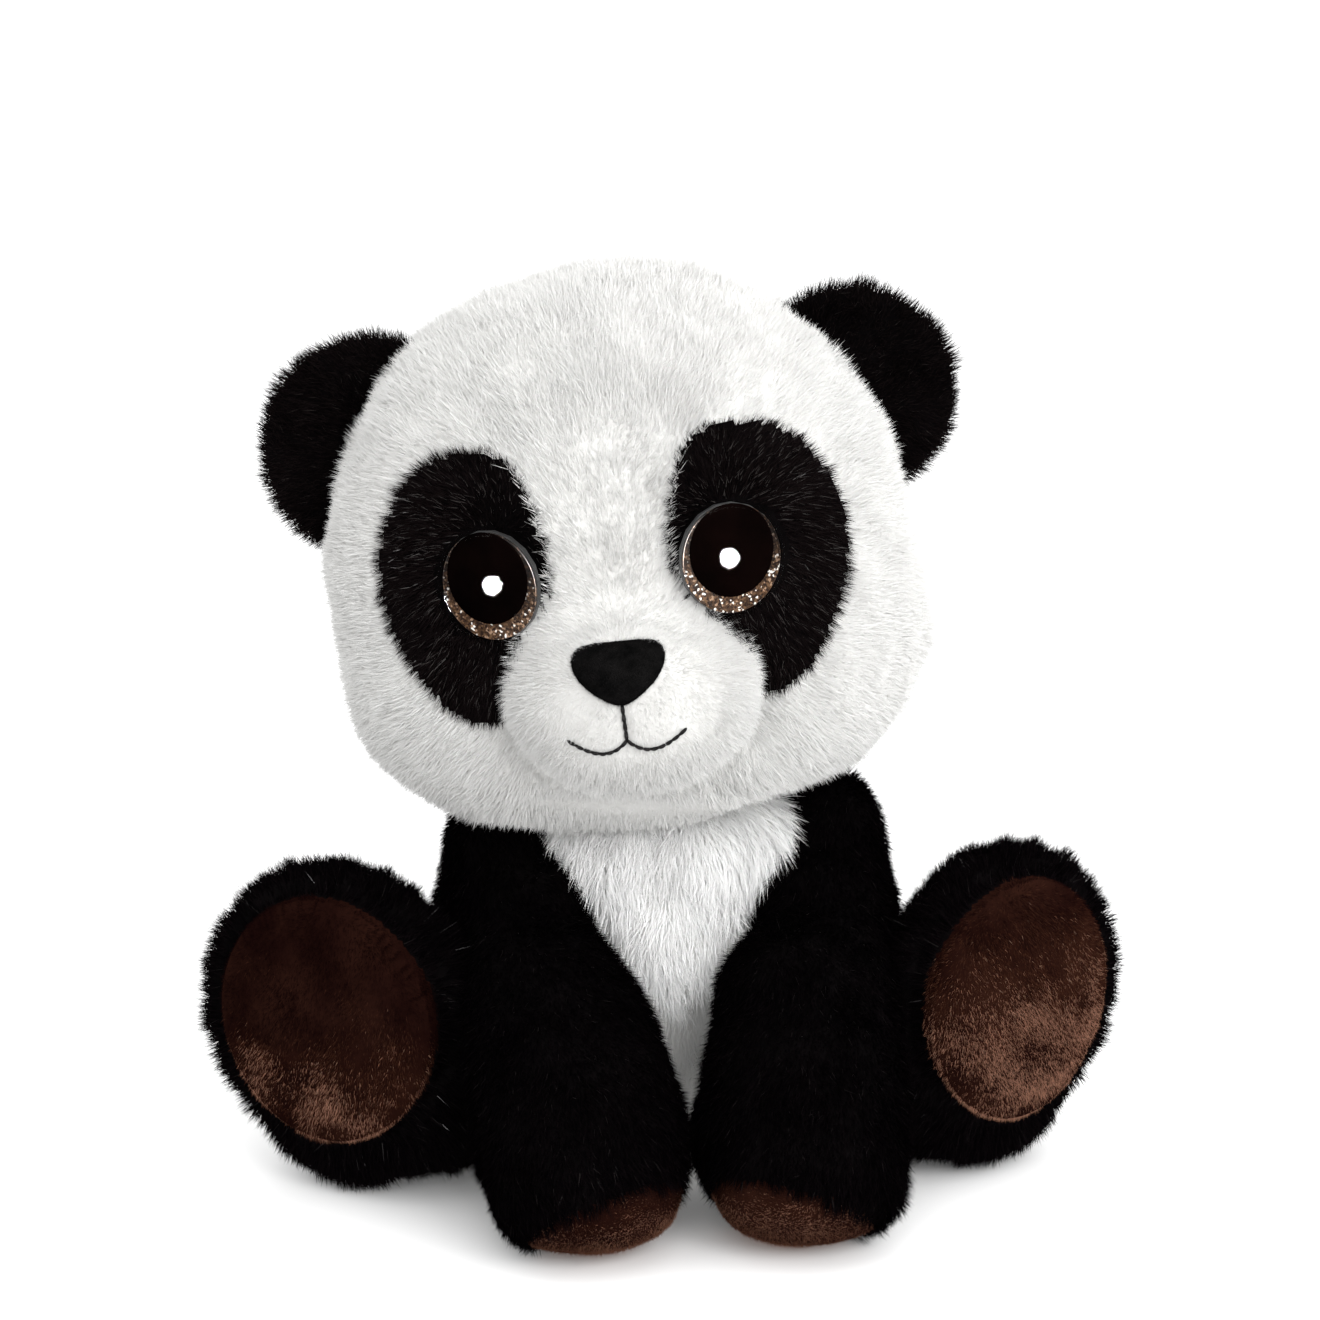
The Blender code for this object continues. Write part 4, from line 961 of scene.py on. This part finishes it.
def stuffed_form(name, nodes, balls, smoothing, inset):
    """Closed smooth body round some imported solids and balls, drawn in by an inset."""
    shape = bmesh.new()
    for node in nodes:
        shape.from_mesh(frame["nodes"][node].data)
    for centre, radii, turn_deg in balls:
        place = Matrix.Translation(Vector(centre) * MM) @ Matrix.Rotation(math.radians(turn_deg), 4, "Z")
        place = place @ Matrix.Diagonal(Vector((*radii, 1.0 / MM)) * MM)
        bmesh.ops.create_uvsphere(shape, u_segments=32, v_segments=20, radius=1.0, matrix=place)
    mesh = bpy.data.meshes.new(name)
    shape.to_mesh(mesh)
    shape.free()
    form = in_scene(name, mesh)
    remesh = form.modifiers.new("voxels", "REMESH")
    remesh.mode = "VOXEL"
    remesh.voxel_size = FORM_VOXEL * MM
    smooth = form.modifiers.new("smooth", "SMOOTH")
    smooth.factor = 0.5
    smooth.iterations = smoothing
    apply_modifiers(form)
    points = mesh_points(form) - inset * read_rows(form.data.vertices, "normal")
    points[:, 2] = np.maximum(points[:, 2], FORM_LOWEST)
    move_points(form, points)
    return form


def inflate(forms):
    """Run forms as cloth under pressure; no point moves further than its form's cap."""
    for form, _ in forms:
        cloth = form.modifiers.new("cloth", "CLOTH")
        cloth.settings.use_pressure = True
        cloth.settings.uniform_pressure_force = CLOTH_PRESSURE
        cloth.settings.effector_weights.gravity = 0.0
        cloth.settings.tension_stiffness = CLOTH_STIFFNESS
        cloth.settings.compression_stiffness = CLOTH_STIFFNESS
        cloth.settings.bending_stiffness = 1.0
        cloth.collision_settings.use_collision = False
    for step in range(1, CLOTH_FRAMES + 1):
        bpy.context.scene.frame_set(step)
    depsgraph = bpy.context.evaluated_depsgraph_get()
    for form, cap in forms:
        rest = mesh_points(form)
        move = mesh_points(form.evaluated_get(depsgraph)) - rest
        reach = np.linalg.norm(move, axis=1, keepdims=True)
        points = rest + move * np.minimum(1.0, cap / np.maximum(reach, 1e-6))
        points[:, 2] = np.maximum(points[:, 2], FORM_LOWEST)
        form.modifiers.clear()
        move_points(form, points)
    bpy.context.scene.frame_set(1)


def swell(forms):
    """Inflate closed forms together, then refine their meshes."""
    inflate(forms)
    for form, _ in forms:
        subdivide = form.modifiers.new("finer", "SUBSURF")
        subdivide.levels = 1
        subdivide.render_levels = 1
        apply_modifiers(form)


def middle_of(node):
    """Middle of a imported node's box."""
    low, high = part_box(node)
    return np.array((low + high) / 2) / MM


def attach(piece, body, nodes=()):
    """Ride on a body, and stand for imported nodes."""
    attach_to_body(piece, body)
    if nodes:
        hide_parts(*nodes)


def brown_tones(low_z, high_z, seed, tone_lift):
    """Tone of each pad fibre: painted shade above and painted sheen below, lifted towards the lighter tones
    by tone_lift, in broad patches of painted sheen, with a few glints.
    """
    def choose(points, rng):
        height = (points[:, 2] - low_z) / (high_z - low_z)
        # Painted sheen: broad patches of lighter and darker pile; the height term paints shade at the top of
        # a pad and sheen at its bottom.
        patches = 0.10 * ripple(points, 24.0, seed)[:, 0] + 0.05 * ripple(points, 9.0, seed + 1)[:, 0]
        light = 0.55 + tone_lift + 1.35 * (0.5 - height) + patches + 0.16 * rng.normal(size=len(points))
        tone = np.where(light > 0.86, 2, np.where(light > 0.52, 1, 0))
        return np.where((rng.uniform(size=len(points)) < 0.03) & (light > 0.62), 3, tone)
    return choose


def sole_place(side, word):
    """Direction in which a sole faces, the level direction across it, and its middle."""
    facing_angle = math.radians(SOLE_FACING_DEG)
    facing = np.array([side * math.sin(facing_angle), -math.cos(facing_angle), 0.0])
    level = np.array([-facing[1], facing[0], 0.0])
    middle = middle_of("leg_sole_" + word) + np.array([side * FOOT_OUTWARD, 0.0, SOLE_RISE])
    return facing, level, middle


def snap_to(form, reach, ways, middle):
    """Move the points next to an edge onto it, so that the two cloths meet along a smooth line."""
    points = mesh_points(form)
    share = reach(points)
    close = np.abs(share - 1) < SNAP_SHARE
    away = points[close] - middle
    level = sum(np.outer(away @ way, way) for way in ways)
    points[close] += level * (1 / share[close] - 1)[:, None] * 0.8
    move_points(form, points)


def limb_ball(ball, side):
    """One of the left arm's balls, mirrored for the right one."""
    (x, y, z), radii = ball
    return (side * x, y, z), radii, 0.0


def arm_form(side, word):
    """Stuffed form of an arm; the left forearm is the fuller one."""
    balls = [SHOULDER_BALL, UPPER_ARM_BALL, WRIST_BALL]
    if word == "left":
        balls.append(LEFT_FOREARM_BALL)
    nodes = [f"arm_{part}_{word}" for part in ("sleeve", "pad", "stuffing")]
    balls = [limb_ball(ball, side) for ball in balls]
    return stuffed_form("arm_form_" + word, nodes, balls, smoothing=6, inset=-0.6)


def leg_form(side, word):
    """Stuffed form of a leg, with a foot and a heel behind the sole."""
    facing, level, middle = sole_place(side, word)
    turn = side * SOLE_FACING_DEG
    heel = middle - facing * HEEL_BEHIND_SOLE - side * level * HEEL_INWARD
    heel = heel - np.array([0.0, 0.0, HEEL_BELOW_SOLE])
    balls = [(middle - facing * FOOT_BEHIND_SOLE, FOOT_RADII, turn), (heel, HEEL_RADII, turn)]
    nodes = [f"leg_{part}_{word}" for part in ("skin", "sole", "stuffing")]
    return stuffed_form("leg_form_" + word, nodes, balls, smoothing=4, inset=0.4)


def build_body():
    """Torso, arms and legs as stuffed forms, swollen together and then clothed."""
    torso_nodes = ["torso_belly_panel", "torso_bib_panel", "torso_back_panel", "torso_stuffing", "pellet_bag"]
    torso = stuffed_form("torso_form", torso_nodes, [CHEST_BALL], smoothing=16, inset=2.2)
    limbs = [(side, word, arm_form(side, word), leg_form(side, word)) for side, word in SIDES]
    forms = [(torso, TORSO_SWELL)]
    for _, _, arm, leg in limbs:
        forms += [(arm, ARM_SWELL), (leg, LEG_SWELL)]
    swell(forms)
    clothe_torso(torso, torso_nodes)
    for side, word, arm, leg in limbs:
        clothe_arm(side, word, arm)
        clothe_leg(side, word, leg)
    for form, _ in forms:
        remove(form)


def clothe_torso(form, nodes):
    """Long-piled bib in front, plush belly and back."""
    centres = face_centres(form)
    outline = list(BIB_OUTLINE) + [(-x, z) for x, z in reversed(BIB_OUTLINE[:-1])]
    bib = (centres[:, 1] < 12) & inside_outline(centres[:, 0], centres[:, 2], outline)
    bib_skin = cut(form, "bib_cloth", bib, WHITE_GROUND, "torso", ["torso_bib_panel"])
    body_skin = cut(form, "torso_cloth", ~bib, WHITE_GROUND, "torso",
                    [node for node in nodes if node != "torso_bib_panel"])
    clothe("bib_pile", bib_skin, BIB_PILE, along(0.0, -0.2, -1.0), BIB_FIBRES_PAINTED_LIGHT, 61, "torso", "white_pile_bib")
    clothe("torso_pile", body_skin, BODY_PILE, along(0.0, 0.3, -1.0), WHITE_FIBRES, 62, "torso",
           "white_plush")


def clothe_arm(side, word, form):
    """Black sleeve and brown paw pad."""
    paw = middle_of("arm_pad_" + word)
    slope = math.radians(PAW_SLOPE_DEG)
    pad_way = np.array([-side * PAW_TURN_IN, -math.cos(slope), -math.sin(slope)])
    pad_way /= np.linalg.norm(pad_way)
    edge = paw - np.array([0.0, 0.0, PAD_EDGE_DROP])

    def above_pad(points):
        return -((points - edge) @ pad_way)

    pad = above_pad(face_centres(form)) < 0
    shoulder = joint_place("arm_raise_" + word)
    body = "arm_" + word
    sleeve_skin = cut(form, "arm_cloth_" + word, ~pad, BLACK_GROUND, body,
                      ["arm_sleeve_" + word, "arm_stuffing_" + word])
    pad_skin = cut(form, "arm_pad_cloth_" + word, pad, BROWN_GROUND, body,
                   ["arm_pad_" + word])

    def near_pad(points):
        return np.exp(-(above_pad(points) / 8.0) ** 2)[:, None]

    def comb_arm(points):
        way = (paw - shoulder) / np.linalg.norm(paw - shoulder)
        outward = unit((points - paw) * np.array([1.0, 1.0, 0.2]))
        share = near_pad(points)
        return way * (1 - 0.4 * share) + 0.2 * unit(points - shoulder) + 0.6 * outward * share

    def arm_length(points):
        return 1 + 0.35 * near_pad(points)[:, 0] * ripple(points, 6.0, 90)[:, 0].clip(-0.3, 1)

    clothe("arm_pile_" + word, sleeve_skin, LIMB_PILE, comb_arm, LIMB_FIBRES, 70 + side, body, "black_plush",
           length_of=arm_length)
    clothe("arm_pad_pile_" + word, pad_skin, PAD_PILE, along(0.1 * side, -1.0, 0.1), BROWN_FIBRES, 75 + side,
           body, "brown_satin_plush", tone_of=brown_tones(*PAW_LIGHT_Z, 3, PAW_TONE_LIFT))


def clothe_leg(side, word, form):
    """Black leg and brown sole."""
    facing, level, middle = sole_place(side, word)

    def sole_reach(points):
        away = points - middle
        reach = np.hypot(away @ level / SOLE_RADII[0], away[:, 2] / SOLE_RADII[1])
        return np.where(away @ facing > -10.0, reach, 9.0)

    snap_to(form, sole_reach, (level, np.array([0.0, 0.0, 1.0])), middle)
    points = mesh_points(form)
    dome = np.clip(1 - sole_reach(points) ** 4, 0, 1) * SOLE_BULGE
    move_points(form, points + np.outer(dome, facing))
    sole = sole_reach(face_centres(form)) < 1
    body = "leg_" + word
    leg_skin = cut(form, "leg_cloth_" + word, ~sole, BLACK_GROUND, body,
                   ["leg_skin_" + word, "leg_stuffing_" + word])
    sole_skin = cut(form, "leg_sole_cloth_" + word, sole, BROWN_GROUND, body,
                    ["leg_sole_" + word])

    def rim_of(points):
        away = points - middle
        return np.clip((away @ facing + 24.0) / 14.0, 0, 1)

    def comb_leg(points):
        away = points - middle
        across = unit(away - np.outer(away @ facing, facing))
        rim = rim_of(points)[:, None]
        return facing * (1 - 0.95 * rim) + across * (0.3 + 0.9 * rim)

    def leg_length(points):
        return 1 + 0.45 * rim_of(points) * (0.5 + ripple(points, 7.0, 95)[:, 0]).clip(0, 1.2)

    def comb_sole(points):
        at_edge = np.clip(sole_reach(points)[:, None] - 0.75, 0, 0.25) * 4
        return np.array([0.15 * side, 0.0, -1.0]) + unit(points - middle) * 1.6 * at_edge

    low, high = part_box("leg_sole_" + word)
    clothe("leg_pile_" + word, leg_skin, LIMB_PILE, comb_leg, LIMB_FIBRES, 80 + side, body, "black_plush",
           length_of=leg_length)
    clothe("leg_sole_pile_" + word, sole_skin, PAD_PILE, comb_sole, BROWN_FIBRES, 85 + side, body,
           "brown_satin_plush", tone_of=brown_tones(low.z / MM, high.z / MM, 4, SOLE_PAINTED_LIGHT[word]))


def build_neck():
    """Neck filling and the gathering thread round it."""
    plug = stuffed_form("neck_filling", ["neck_plug"], [], smoothing=3, inset=0.2)
    plug.data.materials.append(FILLING)
    attach(plug, "neck_plug", ["neck_plug"])
    low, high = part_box("neck_thread")
    middle = middle_of("neck_thread")
    ring = (high.x - low.x) / 2 / MM - 0.9
    turns = 160
    strands = 10
    points = []
    for step in range(turns):
        angle = CIRCLE * step / turns
        out = np.array([math.cos(angle), math.sin(angle), 0.0])
        for strand in range(strands):
            lay = CIRCLE * strand / strands
            twist = lay + 12 * angle
            radius = 0.7 * (1 + 0.25 * math.cos(3 * lay))
            rise = np.array([0.0, 0.0, radius * math.sin(twist)])
            points.append(middle + out * (ring + radius * math.cos(twist)) + rise)
    faces = grid_faces(turns, strands)
    for strand in range(strands):
        after = (strand + 1) % strands
        faces.append(((turns - 1) * strands + strand, (turns - 1) * strands + after, after, strand))
    white_thread = mottled("white_gathering_thread", (0.62, 0.62, 0.60), (0.85, 0.85, 0.83), 0.6, 700.0,
                           specular=0.5)
    thread = closed_piece("gathering_thread", points, faces, white_thread)
    attach(thread, "neck_thread", ["neck_thread"])


def finish_eye_backs():
    """Finishes for the plastic behind the eyes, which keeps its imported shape."""
    backing = mottled("black_moulded_plastic", (0.010, 0.010, 0.010), (0.020, 0.020, 0.020), 0.4, 250.0, 0.15,
                      specular=0.5)
    washer = mottled("pale_moulded_plastic", (0.66, 0.66, 0.64), (0.74, 0.74, 0.72), 0.4, 250.0, 0.15,
                     specular=0.5)
    for _, word in SIDES:
        for node, material in (("eye_backing_" + word, backing), ("eye_washer_" + word, washer)):
            frame["nodes"][node].data.materials[0] = material


# ---- set ----

def build_floor():
    """Pale floor, which throws no light back on the panda."""
    mesh = bpy.data.meshes.new("floor")
    shape = bmesh.new()
    bmesh.ops.create_grid(shape, x_segments=1, y_segments=1, size=FLOOR_HALF_SIDE)
    shape.to_mesh(mesh)
    shape.free()
    mesh.materials.append(principled("pale_floor", FLOOR_COLOUR, 0.8, 0.5)[0])
    floor = in_scene("floor", mesh)
    floor.visible_diffuse = False
    floor.visible_glossy = False


def build_sky():
    """White sky, brighter overhead and on one side."""
    world = bpy.data.worlds.new("studio")
    bpy.context.scene.world = world
    world.use_nodes = True
    world.cycles_visibility.glossy = False
    tree = world.node_tree
    background = tree.nodes["Background"]
    background.inputs["Color"].default_value = (1.0, 1.0, 1.0, 1.0)
    place = tree.nodes.new("ShaderNodeTexCoord")
    slope = add_node(tree, "ShaderNodeVectorMath")
    slope.operation = "DOT_PRODUCT"
    slope.inputs[1].default_value = SKY_SLOPE
    level = add_node(tree, "ShaderNodeMath")
    level.operation = "ADD"
    level.inputs[1].default_value = SKY_LEVEL
    join(tree, (place, "Generated", slope, 0), (slope, "Value", level, 0),
         (level, "Value", background, "Strength"))


def build_light(name, place, size, watts, for_eyes=False):
    """Soft light aimed at the panda; a light for the eyes is round, and seen only as their highlight."""
    data = bpy.data.lights.new(name, "AREA")
    data.shape = "DISK" if for_eyes else "SQUARE"
    data.size = size
    data.energy = watts
    light = in_scene(name, data)
    light.location = place
    light.rotation_euler = (Vector(CAMERA_AIM) * MM - Vector(place)).to_track_quat("-Z", "Y").to_euler()
    light.visible_camera = False
    light.visible_diffuse = not for_eyes
    light.visible_glossy = for_eyes


def build_set():
    """Floor, sky, lights and camera."""
    build_floor()
    build_sky()
    aim = Vector(CAMERA_AIM) * MM
    azimuth = math.radians(CAMERA_AZIMUTH_DEG)
    elevation = math.radians(CAMERA_ELEVATION_DEG)
    back = Vector((math.sin(azimuth) * math.cos(elevation), -math.cos(azimuth) * math.cos(elevation),
                   math.sin(elevation)))
    for name, place, size, watts in LIGHTS:
        build_light(name, place, size, watts)
    build_light("eye_light", aim + back * EYE_LIGHT_DISTANCE, EYE_LIGHT_WIDTH, EYE_LIGHT_WATTS, True)
    data = bpy.data.cameras.new("camera")
    data.lens = data.sensor_width * CAMERA_DISTANCE / CAMERA_VIEW_WIDTH
    camera = in_scene("camera", data)
    camera.location = aim + back * CAMERA_DISTANCE * MM
    camera.rotation_euler = (-back).to_track_quat("-Z", "Y").to_euler()
    bpy.context.scene.camera = camera
    bpy.context.scene.view_settings.view_transform = "Standard"


build_set()
build_head()
build_muzzle()
build_nose()
build_mouth()
build_eyes()
for ear_side, ear_word in SIDES:
    build_ear(ear_side, ear_word)
build_body()
build_neck()
finish_eye_backs()
